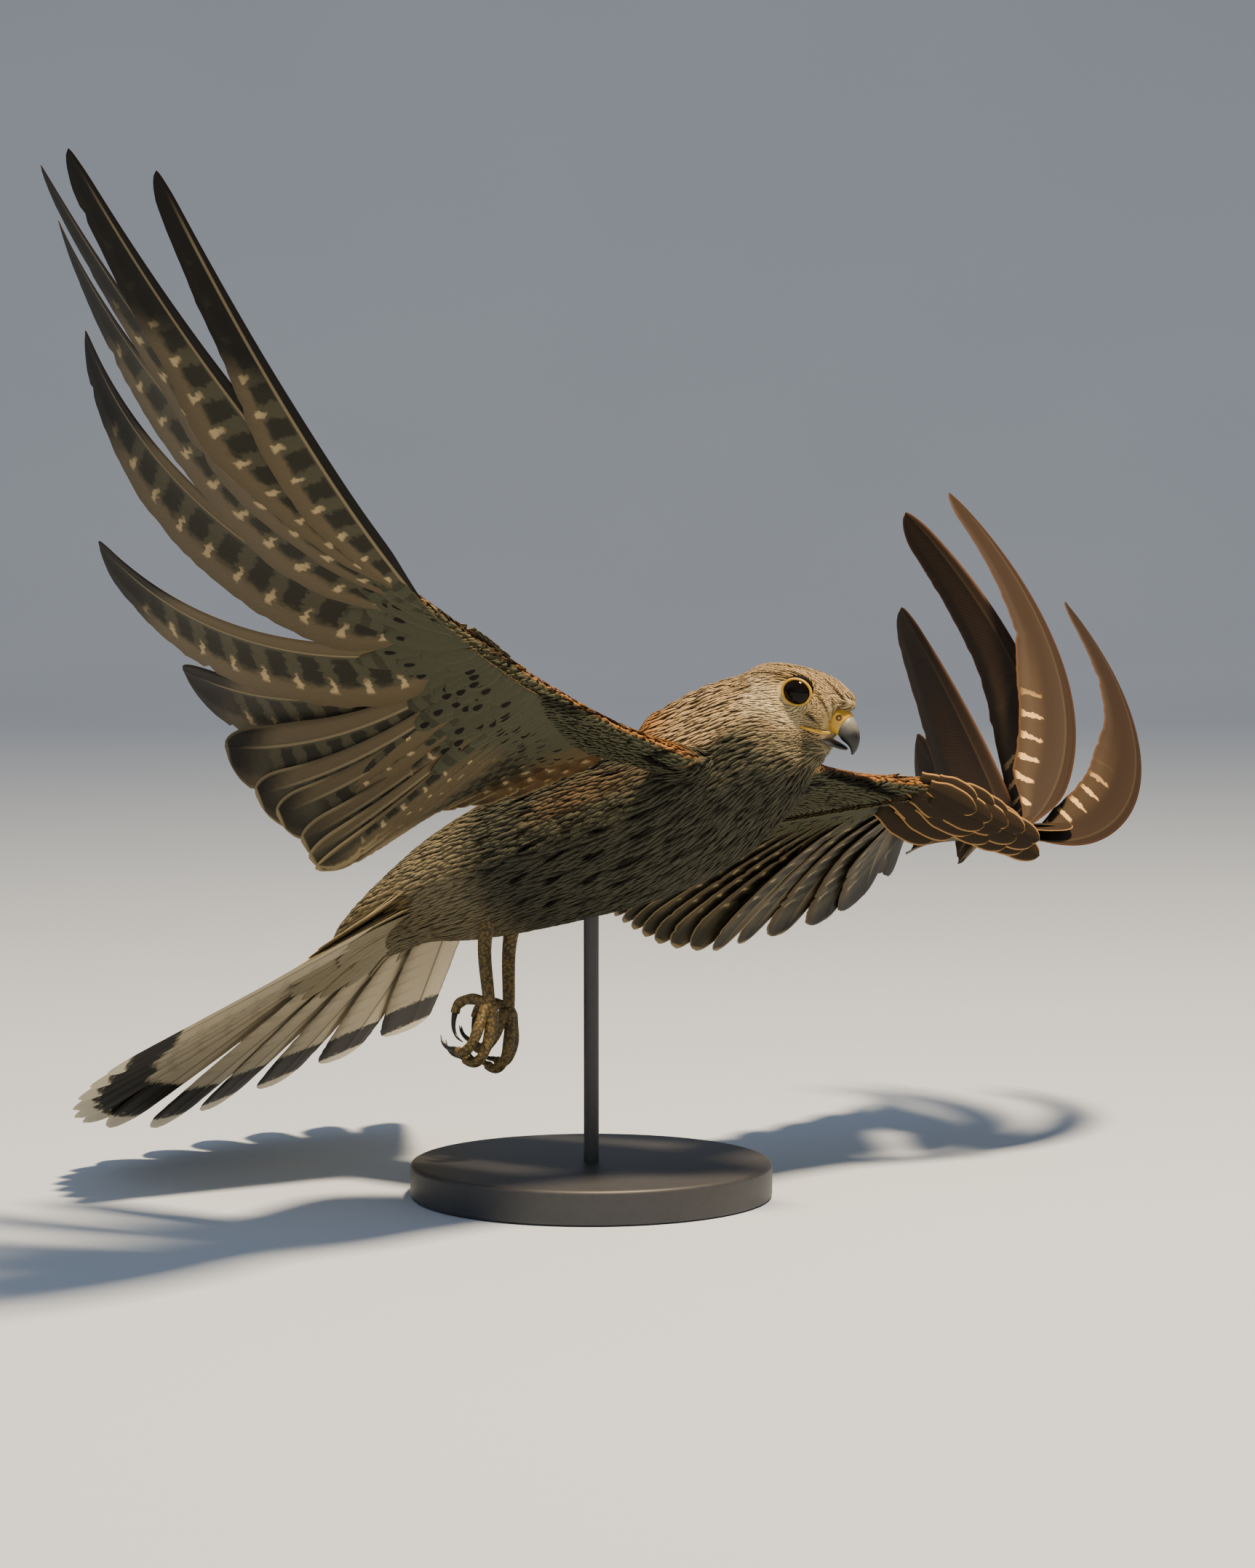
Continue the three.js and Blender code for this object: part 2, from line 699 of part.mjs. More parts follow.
// The tail feathers lie in a stack, the middle ones on top and each side's lower further out.
function tailSolid(covertCone) {
  const root = vec(TAIL.root);
  const heading = (angle) => {
    const turned = (angle + TAIL.turn) * RAD;
    const out = Math.sin(turned);
    const twisted = out * Math.sin(TAIL.twist * RAD) - Math.abs(out) * Math.sin(TAIL.droop * RAD);
    const up = twisted - Math.sin(TAIL.drop * RAD);
    return vec([-Math.cos(turned), out * Math.cos(TAIL.twist * RAD), up]).normalize();
  };
  const solids = [covertCone];
  for (let k = 0; k < TAIL.pairs * 2; k++) {
    const share = (k + 0.5) / TAIL.pairs - 1;
    const angle = share * (share > 0 ? TAIL.fan.left : TAIL.fan.right);
    const rank = Math.floor(Math.abs(share) * TAIL.pairs) + (share > 0 ? 0.5 : 0);
    const length = THREE.MathUtils.lerp(TAIL.centreLength, TAIL.outerLength, Math.abs(share) ** 1.6);
    const ahead = heading(angle);
    const beside = heading(angle + 3).sub(heading(angle - 3)).normalize();
    const up = ahead.clone().cross(beside).normalize();
    if (up.z < 0) up.negate();
    const start = root
      .clone()
      .addScaledVector(beside, share * TAIL.spread)
      .addScaledVector(up, TAIL.stack * (TAIL.pairs / 2 - rank));
    const stations = BLUNT.map(([t, outerShare, innerShare]) => {
      const webs = [TAIL.outerWeb * outerShare, TAIL.innerWeb * innerShare];
      const [low, high] = share > 0 ? webs.toReversed() : webs;
      const at = start.clone().addScaledVector(ahead, t * length).addScaledVector(up, -TAIL.bend * t * t);
      return { at, across: beside, up, outer: low, inner: high };
    });
    solids.push(vane(stations, VANE_THICK));
  }
  return largest(cutBehind(union(solids), TAIL_CUT));
}

const bird = new THREE.Group();
bird.position.set(...SHOULDERS_AT);
bird.rotation.set(-BANK_LEFT * RAD, -PITCH_UP * RAD, 0, "YXZ");
bird.updateMatrix();
const part = new THREE.Group();
part.add(bird);

function addMesh(group, name, solid, colour, roughness) {
  const { numProp, vertProperties, triVerts } = solid.getMesh();
  const geometry = new THREE.BufferGeometry();
  geometry.setAttribute("position", new THREE.BufferAttribute(vertProperties, numProp));
  geometry.setIndex(new THREE.BufferAttribute(triVerts, 1));
  geometry.computeVertexNormals();
  const material = new THREE.MeshStandardMaterial({ color: colour, roughness, metalness: 0 });
  const mesh = new THREE.Mesh(geometry, material);
  mesh.name = name;
  group.add(mesh);
}

const spline = (points) => new THREE.CatmullRomCurve3(points);
const between = ([from, to]) => (share) => THREE.MathUtils.lerp(from, to, share);

// A toe or claw point of one foot in the bird's frame.
function footPoint(leg, [x, y, z]) {
  const joint = vec(leg.joint);
  return vec([joint.x + x * leg.toeSpan, (joint.y + y) * leg.side, joint.z + z * leg.toeSpan]);
}

function shankSolid(leg) {
  const [hip, ankle, joint] = [leg.hip, leg.ankle, leg.joint].map(([x, y, z]) => vec([x, y * leg.side, z]));
  const above = joint.clone().lerp(ankle, 0.2);
  const radiusAt = (share) =>
    share < 0.35
      ? THREE.MathUtils.lerp(SHANK.top, SHANK.ankle, share / 0.35)
      : THREE.MathUtils.lerp(SHANK.ankle, SHANK.foot, (share - 0.35) / 0.65);
  return taperedTube(spline([hip, ankle, above]), radiusAt, SHANK.steps, SHANK.sides);
}

const toeCurve = (leg, path) => spline(path.map((p) => footPoint(leg, p)));

function footSolid(leg) {
  const knuckle = footPoint(leg, [-0.4, 0, -0.6]);
  const toes = Object.values(TOES).map((path) =>
    taperedTube(toeCurve(leg, path), between(TOE.radius), TOE.steps, TOE.sides),
  );
  return largest(union([sphere(3, knuckle.toArray(), 8), ...toes]));
}

// A claw starts square against the end of its toe.
function clawSolid(leg, toe) {
  const bone = toeCurve(leg, TOES[toe]);
  const end = bone.getPointAt(1);
  const ahead = bone.getTangentAt(1);
  const start = [CLAW.gap, CLAW.gap + 0.8].map((distance) => end.clone().addScaledVector(ahead, distance));
  const rest = CLAWS[toe].map((p) => footPoint(leg, p));
  return taperedTube(spline([...start, ...rest]), between(CLAW.radius), CLAW.steps, CLAW.sides);
}

function baseSolid() {
  const { radius, height, bevel, sides } = BASE;
  const profile = [
    [0, 0],
    [radius, 0],
    [radius, height - bevel],
    [radius - bevel, height],
    [0, height],
  ].map(([x, y]) => new THREE.Vector2(x, y));
  return solidFromGeometry(new THREE.LatheGeometry(profile, sides).rotateX(Math.PI / 2));
}

// The rod stands on the base and ends against the belly.
function rodSolid(trunkInPlace) {
  const bottom = BASE.height + GAP;
  const length = SHOULDERS_AT[2] - ROD.drop - bottom;
  const rod = new THREE.CylinderGeometry(ROD.radius, ROD.radius, length, ROD.sides);
  rod.rotateX(Math.PI / 2).translate(0, 0, bottom + length / 2);
  return largest(solidFromGeometry(rod).subtract(trunkInPlace));
}

function buildBody() {
  const trunk = trunkSolid();
  const cutters = headCutters();
  const whole = union([trunk, placed(headForm(), headPlace)]).subtract(placed(cutters, headPlace));
  const head = largest(cutAhead(whole, HEAD_CUT));
  const neck = largest(cutAhead(cutBehind(whole, HEAD_CUT), NECK_CUT));
  const torso = largest(cutAhead(cutBehind(whole, NECK_CUT), TAIL_CUT));
  const tail = tailSolid(cutBehind(trunk, TAIL_CUT));
  addMesh(bird, "torso", torso, COLOUR.underside, 0.9);
  addMesh(bird, "neck", neck, COLOUR.head, 0.9);
  addMesh(bird, "head", head, COLOUR.head, 0.85);
  addMesh(bird, "tail", tail, COLOUR.tail, 0.75);
}

function buildFace() {
  const inPlace = (name, solid, colour, roughness) =>
    addMesh(bird, name, placed(solid, headPlace), colour, roughness);
  inPlace("cere", cereSolid(), COLOUR.cere, 0.55);
  inPlace("bill_upper", billLoft(UPPER_BILL), COLOUR.bill, 0.35);
  inPlace("bill_lower", billLoft(LOWER_BILL), COLOUR.bill, 0.4);
  inPlace("eye_left", sphere(EYE.radius, [EYE.x, EYE.side, EYE.z]), COLOUR.eye, 0.05);
  inPlace("eye_right", sphere(EYE.radius, [EYE.x, -EYE.side, EYE.z]), COLOUR.eye, 0.05);
}

function buildWings() {
  const bodyGrown = union([trunkSolid(GAP), placed(skullSolid(GAP), headPlace)]);
  for (const [name, pose] of Object.entries(WINGS)) {
    const form = wingForm(pose);
    const mirror = new THREE.Matrix4().makeScale(1, pose.side, 1);
    const hand = wingHand(form);
    const mirrored = placed(bodyGrown, mirror);
    const arm = wingArm(form, wingHand(form, GAP), mirrored);
    addMesh(bird, `wing_${name}_arm`, placed(arm, mirror), COLOUR.flight, 0.8);
    addMesh(bird, `wing_${name}_hand`, placed(hand, mirror), COLOUR.flight, 0.75);
  }
}

function buildLegs() {
  const trunkGrown = trunkSolid(GAP);
  for (const [name, leg] of Object.entries(LEGS)) {
    addMesh(bird, `leg_${name}`, largest(shankSolid(leg).subtract(trunkGrown)), COLOUR.leg, 0.7);
    addMesh(bird, `foot_${name}`, footSolid(leg), COLOUR.leg, 0.7);
    for (const toe of Object.keys(CLAWS)) {
      addMesh(bird, `claw_${name}_${toe}`, clawSolid(leg, toe), COLOUR.claw, 0.3);
    }
  }
}

function buildStand() {
  addMesh(part, "stand_base", baseSolid(), COLOUR.stand, 0.6);
  addMesh(part, "stand_rod", rodSolid(placed(trunkSolid(GAP), bird.matrix)), COLOUR.stand, 0.4);
}

buildBody();
buildFace();
buildWings();
buildLegs();
buildStand();

export default part;
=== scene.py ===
"""A life-size common kestrel hovering on a display stand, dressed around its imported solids.

Sizes are millimetres in the bird's own frame (x ahead, y to its left, z up, origin midway
between the shoulders) until a mesh is made, and metres in the row frame after that.
"""

import math
from functools import partial

import bpy
import numpy as np
from mathutils import Matrix, Vector, kdtree
from mathutils.bvhtree import BVHTree


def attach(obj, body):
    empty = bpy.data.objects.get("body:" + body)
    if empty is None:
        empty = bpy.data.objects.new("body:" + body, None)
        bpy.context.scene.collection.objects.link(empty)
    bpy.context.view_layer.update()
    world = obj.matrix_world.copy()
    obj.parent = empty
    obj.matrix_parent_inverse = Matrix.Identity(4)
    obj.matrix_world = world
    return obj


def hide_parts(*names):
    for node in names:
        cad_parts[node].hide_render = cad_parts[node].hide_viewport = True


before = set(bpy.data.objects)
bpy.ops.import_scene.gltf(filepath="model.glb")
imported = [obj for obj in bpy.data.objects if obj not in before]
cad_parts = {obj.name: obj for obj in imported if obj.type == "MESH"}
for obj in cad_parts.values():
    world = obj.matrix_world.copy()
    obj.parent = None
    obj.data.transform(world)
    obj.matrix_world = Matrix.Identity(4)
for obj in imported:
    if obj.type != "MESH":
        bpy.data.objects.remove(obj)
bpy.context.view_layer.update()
MM = 0.001
RNG = np.random.default_rng(7)

# Where the bird hangs: its shoulders, nose up, left wing down.
SHOULDERS_AT = np.array([55.0, 0.0, 146.0])
PITCH_UP = math.radians(23.5)
BANK_LEFT = math.radians(16)
BIRD_TURN = np.array(Matrix.Rotation(-PITCH_UP, 3, "Y") @ Matrix.Rotation(-BANK_LEFT, 3, "X"))

# The trunk from tail coverts to head: x, y, z of the centre, half width, half height.
TRUNK = [
    [-174, 5, 1, 12, 2.6],
    [-164, 4, 2.6, 17, 5.2],
    [-152, 2.5, 4.4, 19.5, 8.6],
    [-138, 1, 5.6, 20.5, 13.4],
    [-120, 0, 5.4, 22, 19.5],
    [-95, 0, 4.2, 24.5, 24],
    [-68, 0, 1.8, 27, 26.4],
    [-40, 0, -0.4, 28.5, 28],
    [-14, 0, -0.4, 27, 27.2],
    [8, -0.4, 4.2, 22.4, 24.6],
    [20, -0.8, 8.6, 18.8, 22],
    [30, -1, 11, 14.5, 16],
    [36, -1, 12, 8, 8],
]
# How far the small feathers stand over the skin of the body and of the head.
COAT_DEPTH, HEAD_COAT = 1.4, 0.9
SKIN_VOXEL = 1.0

# The head in its own frame: x towards the bill, z to the crown, origin between the eyes.
HEAD_AT = np.array([37.0, -0.3, 15.5])
HEAD_TURN = np.array(
    Matrix.Rotation(math.radians(15), 3, "Z")
    @ Matrix.Rotation(math.radians(42), 3, "Y")
    @ Matrix.Rotation(math.radians(17.9), 3, "X")
)
# x, top, bottom, half width.
SKULL = [
    [-23, -1.5, -9, 6],
    [-20, 2.2, -13.5, 10],
    [-15.5, 4.8, -16.5, 12.4],
    [-10, 6.5, -17, 13.2],
    [-4.5, 7.6, -16.4, 12.8],
    [1, 8.2, -15.4, 11.8],
    [5.5, 8.3, -15, 10.5],
    [9.5, 7.6, -15, 9.2],
    [13, 6.2, -13.4, 7.4],
]
EYE = {"radius": 6.0, "x": -0.1, "side": 7.1, "z": 0.3, "ring": 4.9, "lid": 0.5, "flat": 0.86, "turn": 15}
# x, z, nose-down angle, half height, half width along the bill.
CERE = [
    [11.8, -3.6, 3, 4.4, 4.5],
    [13.4, -3.9, 4, 4.9, 4.9],
    [15.2, -4.3, 7, 4.6, 4.5],
    [16.6, -4.9, 11, 4.2, 4.1],
    [17.1, -5.1, 12, 3.7, 3.6],
]
UPPER_BILL = [
    [16, -4.9, 11, 3.6, 3.4],
    [17, -5.1, 12, 4.1, 3.9],
    [18.8, -6.5, 20, 3.7, 3.4],
    [20.4, -7.6, 34, 3.1, 2.8],
    [21.6, -9.1, 52, 2.2, 2.1],
    [22.4, -10.6, 68, 1.3, 1.3],
    [22.6, -12, 80, 0.7, 0.7],
    [22.5, -13, 88, 0.25, 0.25],
]
LOWER_BILL = [
    [11.4, -12, 0, 1, 4],
    [13.4, -12, 0, 1.1, 4.2],
    [16, -12, 0, 1.1, 3.4],
    [18.4, -12, -4, 0.9, 2.3],
    [19.6, -11.9, -8, 0.6, 1.3],
    [20.3, -11.8, -12, 0.3, 0.5],
]
# Rounded fillings of the skin, in the head's frame: centre, then three half lengths.
FILLINGS = [
    [[11.5, 0, 2.2], [6, 5, 3]],
    [[9, 0, -14.9], [5.5, 5.2, 3]],
    [[4, 0, -19], [8.3, 8, 7]],
    [[0, 0, -25], [9.5, 10.5, 8]],
    [[-5, 0, -31], [9.5, 12.5, 9]],
    [[-17.5, 0, -9], [10, 10, 7.8]],
    [[-22, 0, -13.6], [11, 11, 8.4]],
    [[-26.5, 0, -18.3], [12, 11.5, 9]],
    [[-31, 0, -23.4], [12.5, 12.5, 9.8]],
    [[-35.5, 0, -28.6], [12.5, 13, 10]],
    [[-40, 0, -34], [12.5, 13.5, 10]],
]
# The yellow corner of the mouth: x, side, z along its edge.
GAPE = [[4.4, 8.9, -9.9], [7, 8.5, -9.8], [10, 7.6, -9.5], [12.6, 5.9, -9.1], [14.6, 4.5, -8.5]]

# One wing's flight feathers, numbered from the outermost.
LAST_FEATHER = 24
LAST_POINTED = 2
LAST_TAPERED = 5
# Number, place of the root out from the wrist or back from it.
ROOTS = [
    [0, 50], [1, 48], [2, 42.5], [4, 31], [6, 20], [9, 5], [10, -4], [21, -46], [24, -62],
]
# Number, length, width of the outer web, width of the inner web.
FEATHERS = [
    [0, 178, 3.2, 13.5], [1, 192, 4.4, 18.5], [2, 192, 5.2, 21.5], [3, 178, 5.8, 25],
    [4, 160, 6.4, 26], [5, 143, 7, 25], [6, 130, 7.4, 21], [7, 120, 7.6, 18],
    [8, 113, 7.6, 17], [9, 107, 7.4, 15], [10, 100, 7.4, 15], [13, 97, 7.4, 15],
    [17, 88, 7.4, 14], [21, 76, 7.4, 13], [24, 54, 7.4, 11],
]
SHINGLE_STEP = 1.1
MOST_TILT = math.radians(13)
OUTER_LAP = 0.5
INNER_LAP = 1.5

# Fan rows: number, turn, lift, upward bend of the whole feather, slide of its root.
WINGS = {
    "left": {
        "side": 1,
        "front": [16, 16, 4],
        "elbow": [-22, 55, 8],
        "wrist": [15.4, 94.8, 10.6],
        "hand": [104, -15],
        "lean": 0.25,
        "fan": [
            [0, 83.2, 54.2, 111, 6.1], [1, 65.4, 70.3, 88.4, 0], [2, 51, 70, 108, 0],
            [3, 52, 54.5, 100, -2], [4, 54.7, 33.9, 78, -5], [5, 50.9, 14.6, -24, -9],
            [6, 44.5, 6.7, -30, -9.5], [7, 36.2, 1, -30, -7.5], [8, 25.4, -3.6, -28, -5],
            [9, 14.3, -8.3, -26, -2.5], [10, 5, -14, -24, 0], [12, -4, -15, -20, 0],
            [15, -13, -13, -16, 0], [18, -20, -11, -12, 0], [21, -18, -5, -8, 0],
            [24, -12, 1, -5, 0],
        ],
    },
    "right": {
        "side": -1,
        "front": [9, 16, -5],
        "elbow": [-17, 58, 9],
        "wrist": [-1.8, 109.5, 10],
        "hand": [95, 14],
        "lean": 0.1,
        "fan": [
            [0, 107, 26, 41, 0], [1, 98, 30, 48, 0], [2, 90, 35, 55, 0], [3, 76, 44, 63, 0],
            [4, 54, 47, 72, 0], [5, 20, 32, 61, 0], [6, 0, 20, 46, 0], [7, -4, 9, 34, 0],
            [8, -5, 1, 26, 0], [9, -4, -3, 20, 0], [10, -1, -9, 14, 0], [12, 2, -15, 10, 0],
            [15, 0, -12, 6, 0], [18, -3, -6, 6, 0], [21, -5, 0, 5, 0], [24, -6, 3, 5, 0],
        ],
    },
}
SHOULDER = np.array([0.0, 18, 3])
PATAGIUM_HOLLOW = 4
WRIST_FRONT = 5
ARM_BACK = 8
ARM_THICK = [6.5, 4.4]
HAND_LENGTH = 54
HAND_THICK = [4.4, 2.6]

TAIL = {
    "root": np.array([-134, 0.5, 6.5]),
    "turn": -16, "drop": 17, "left": 64, "right": 34.5, "twist": 16.5, "droop": -6,
    "pairs": 6, "centre_length": 147, "outer_length": 128,
    "outer_web": 8, "inner_web": 15, "spread": 13, "bend": -1.6, "stack": 1.0,
}

LEGS = {
    "left": {"side": 1, "hip": [-101, 7.5, -8], "ankle": [-108, 8.4, -20],
             "joint": [-113, 8.6, -42], "span": 0.95},
    "right": {"side": -1, "hip": [-99, 7.5, -8], "ankle": [-106, 8.2, -22],
              "joint": [-108.5, 8.2, -45], "span": 0.92},
}
TOES = {
    "middle": [[0, 0, 1], [-1.5, 0, -8], [-5.5, 0.4, -16], [-11, 0.8, -18.5], [-15, 1, -15]],
    "inner": [[0, -1.6, 1], [-3, -3.8, -6], [-8, -4.6, -11], [-12, -4.6, -11.5], [-14, -4.6, -8.5]],
    "outer": [[0, 1.6, 1], [-2.8, 4.2, -7], [-6.5, 5.4, -13], [-11, 5.6, -15], [-14, 5.6, -13]],
    "hind": [[0.5, 0, 1], [-5, 0.2, 5], [-10, 0.4, 6.6], [-14, 0.5, 6], [-16, 0.5, 3]],
}
CLAWS = {
    "middle": [[-19.4, 1, -12], [-21.6, 1, -8.8], [-21.9, 0.8, -4.8]],
    "inner": [[-16.8, -4.6, -5.4], [-18.6, -4.6, -2.6], [-18.8, -4.4, 0.6]],
    "outer": [[-17.8, 5.6, -10.8], [-19.8, 5.6, -7.8], [-20, 5.4, -4.4]],
    "hind": [[-17.7, 0.5, -1.6], [-17, 0.5, -5.8], [-14.2, 0.5, -9]],
}
BASE = {"radius": 62, "height": 12, "bevel": 1.6}
ROD = {"radius": 2.6, "drop": 28}


def to_row(points):
    """Bird-frame millimetres to row-frame metres."""
    return (np.asarray(points, float) @ BIRD_TURN.T + SHOULDERS_AT) * MM


def from_head(points):
    """Head-frame millimetres to bird-frame millimetres."""
    return np.asarray(points, float) @ HEAD_TURN.T + HEAD_AT


def unit(vectors):
    """Vectors made one long."""
    return vectors / np.maximum(np.linalg.norm(vectors, axis=-1, keepdims=True), 1e-9)


def square_to(vectors, axes):
    """Vectors without their share along unit axes."""
    return vectors - axes * np.sum(vectors * axes, axis=-1, keepdims=True)


def smooth(low, high, value):
    """Rises gently from 0 at low to 1 at high."""
    t = np.clip((value - low) / (high - low), 0, 1)
    return t * t * (3 - 2 * t)


def sample(table, at):
    """Smooth rows of values from a table whose first column is where each row holds."""
    table = np.asarray(table, float)
    at = np.atleast_1d(np.asarray(at, float))
    k = np.clip(np.searchsorted(table[:, 0], at) - 1, 0, len(table) - 2)
    before, start = table[np.maximum(k - 1, 0)], table[k]
    end, after = table[k + 1], table[np.minimum(k + 2, len(table) - 1)]
    span = end[:, :1] - start[:, :1]
    t = (at[:, None] - start[:, :1]) / span
    slope_in = (end - before) / (end[:, :1] - before[:, :1]) * span
    slope_out = (after - start) / (after[:, :1] - start[:, :1]) * span
    found = (2 * t**3 - 3 * t**2 + 1) * start + (t**3 - 2 * t**2 + t) * slope_in
    found += (3 * t**2 - 2 * t**3) * end + (t**3 - t**2) * slope_out
    return found[:, 1:]


# Meshes.


def add_object(name, data):
    thing = bpy.data.objects.new(name, data)
    bpy.context.scene.collection.objects.link(thing)
    return thing


def make_piece(name, points, quads, attributes, bake, nodes=()):
    """A piece from row-frame points, four-sided faces, vertex attributes and a bake layout."""
    mesh = bpy.data.meshes.new(name)
    mesh.vertices.add(len(points))
    mesh.vertices.foreach_set("co", np.asarray(points, np.float32).ravel())
    mesh.loops.add(quads.size)
    mesh.loops.foreach_set("vertex_index", quads.ravel().astype(np.int32))
    mesh.polygons.add(len(quads))
    mesh.polygons.foreach_set("loop_start", np.arange(0, quads.size, 4, dtype=np.int32))
    mesh.polygons.foreach_set("use_smooth", np.ones(len(quads), bool))
    mesh.update(calc_edges=True)
    set_attributes(mesh, attributes)
    layout = mesh.uv_layers.new(name="OFBake")
    layout.uv.foreach_set("vector", bake[quads.ravel()].astype(np.float32).ravel())
    return dress(add_object(name, mesh), nodes)


def set_attributes(mesh, attributes):
    """Gives a mesh's points named numbers, or rows of three."""
    for key, values in attributes.items():
        kind, field = ("FLOAT_VECTOR", "vector") if values.ndim == 2 else ("FLOAT", "value")
        layer = mesh.attributes.new(key, kind, "POINT")
        layer.data.foreach_set(field, values.astype(np.float32).ravel())


def dress(piece, nodes=()):
    """Says what a piece rides on and takes the place of."""
    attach(piece, "root")
    if nodes:
        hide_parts(*nodes)
    return piece


# Wings and tail.


class Wing:
    """The wing as functions of feather number i and place t along the feather, 0 to 1."""

    def __init__(self, pose):
        self.side = pose["side"]
        self.front, self.elbow, self.wrist = (
            np.array(pose[key], float) for key in ("front", "elbow", "wrist")
        )
        self.hand = self.heading(*pose["hand"])
        self.outward = unit(self.wrist - self.elbow) * [1, self.side, 1]
        self.lean = pose["lean"]
        rows = np.array(pose["fan"], float)
        headings = np.array([self.heading(turn, lift) for turn, lift in rows[:, 1:3]])
        self.fan = np.column_stack([rows[:, 0], headings, rows[:, 3:]])

    @staticmethod
    def heading(turn, lift):
        """A direction so many degrees out from the tail and up."""
        turn, lift = math.radians(turn), math.radians(lift)
        level = math.cos(lift)
        return np.array([-math.cos(turn) * level, math.sin(turn) * level, math.sin(lift)])

    def bone(self, distance):
        """Points on the line of the bones, out from the wrist or back from it."""
        out = np.maximum(distance, 0)[:, None]
        back = np.maximum(-distance, 0)[:, None]
        forearm = self.elbow - self.wrist
        length = np.linalg.norm(forearm)
        humerus = unit(SHOULDER - self.elbow)
        along = np.minimum(back, length) / length
        return self.wrist + self.hand * out + forearm * along + humerus * np.maximum(back - length, 0)

    def point(self, i, t):
        """Points on the shafts."""
        found = sample(self.fan, i)
        chord = unit(found[:, :3])
        bend = np.radians(found[:, 3:4])
        t = t[:, None]
        rise = unit(square_to(np.array([-self.lean, 0, 1]) + 0 * chord, chord))
        radius = sample(FEATHERS, i)[:, :1] / bend
        along = radius * (np.sin((t - 0.5) * bend) + np.sin(0.5 * bend))
        upward = radius * (np.cos(0.5 * bend) - np.cos((t - 0.5) * bend))
        return self.bone(sample(ROOTS, i)[:, 0] + found[:, 4]) + chord * along + rise * upward

    def frame(self, i, t):
        """The shaft's direction, the inner web's, the upper side's, and the feathers' spacing."""
        ahead = unit(self.point(i, t + 0.01) - self.point(i, t - 0.01))
        low, high = np.maximum(i - 0.5, 0), np.minimum(i + 0.5, LAST_FEATHER)
        across = square_to((self.point(high, t) - self.point(low, t)) / (high - low)[:, None], ahead)
        spacing = np.linalg.norm(across, axis=1)
        level = 3 * np.cross(np.array([0, 0, 1.0]) + 0 * ahead, ahead)
        across = unit(square_to(across + level, ahead))
        up = np.cross(ahead, across)
        tilt = np.minimum(np.arctan(SHINGLE_STEP / spacing), MOST_TILT)[:, None]
        inner = across * np.cos(tilt) - up * np.sin(tilt)
        return ahead, inner, np.cross(ahead, inner), spacing


# Share along a feather, and the share of each web's full width there.
POINTED = [[0, 0.3, 0.25], [0.14, 0.9, 0.8], [0.32, 1, 1], [0.5, 1, 1], [0.64, 0.88, 0.74],
           [0.8, 0.7, 0.56], [0.93, 0.5, 0.4], [1, 0.34, 0.26]]
TAPERED = [[0, 0.3, 0.25], [0.14, 0.9, 0.8], [0.32, 1, 1], [0.5, 1, 1], [0.68, 0.95, 0.92],
           [0.84, 0.78, 0.7], [0.94, 0.55, 0.5], [1, 0.4, 0.36]]
BLUNT = [[0, 0.3, 0.25], [0.2, 0.9, 0.8], [0.5, 1, 1], [0.78, 1, 1], [0.92, 0.95, 0.92],
         [1, 0.9, 0.88]]
SHAFT_HALF = 0.45
# Where the points of a vane's cross-section lie, in shares of its two webs.
BESIDE_SHAFT = 0.01
WEB_COLUMNS = np.array([-1, -0.62, -0.3, -BESIDE_SHAFT, 0, BESIDE_SHAFT, 0.3, 0.62, 1])
# Millimetres of web that fill a bake cell's width, and the part of the cell that is used.
CELL_WEB, CELL_FILL = 60, 0.94
# Stations along a flight feather, a covert and a tail feather.
FLIGHT_ROWS, COVERT_POINTS, TAIL_ROWS = 60, 14, 40


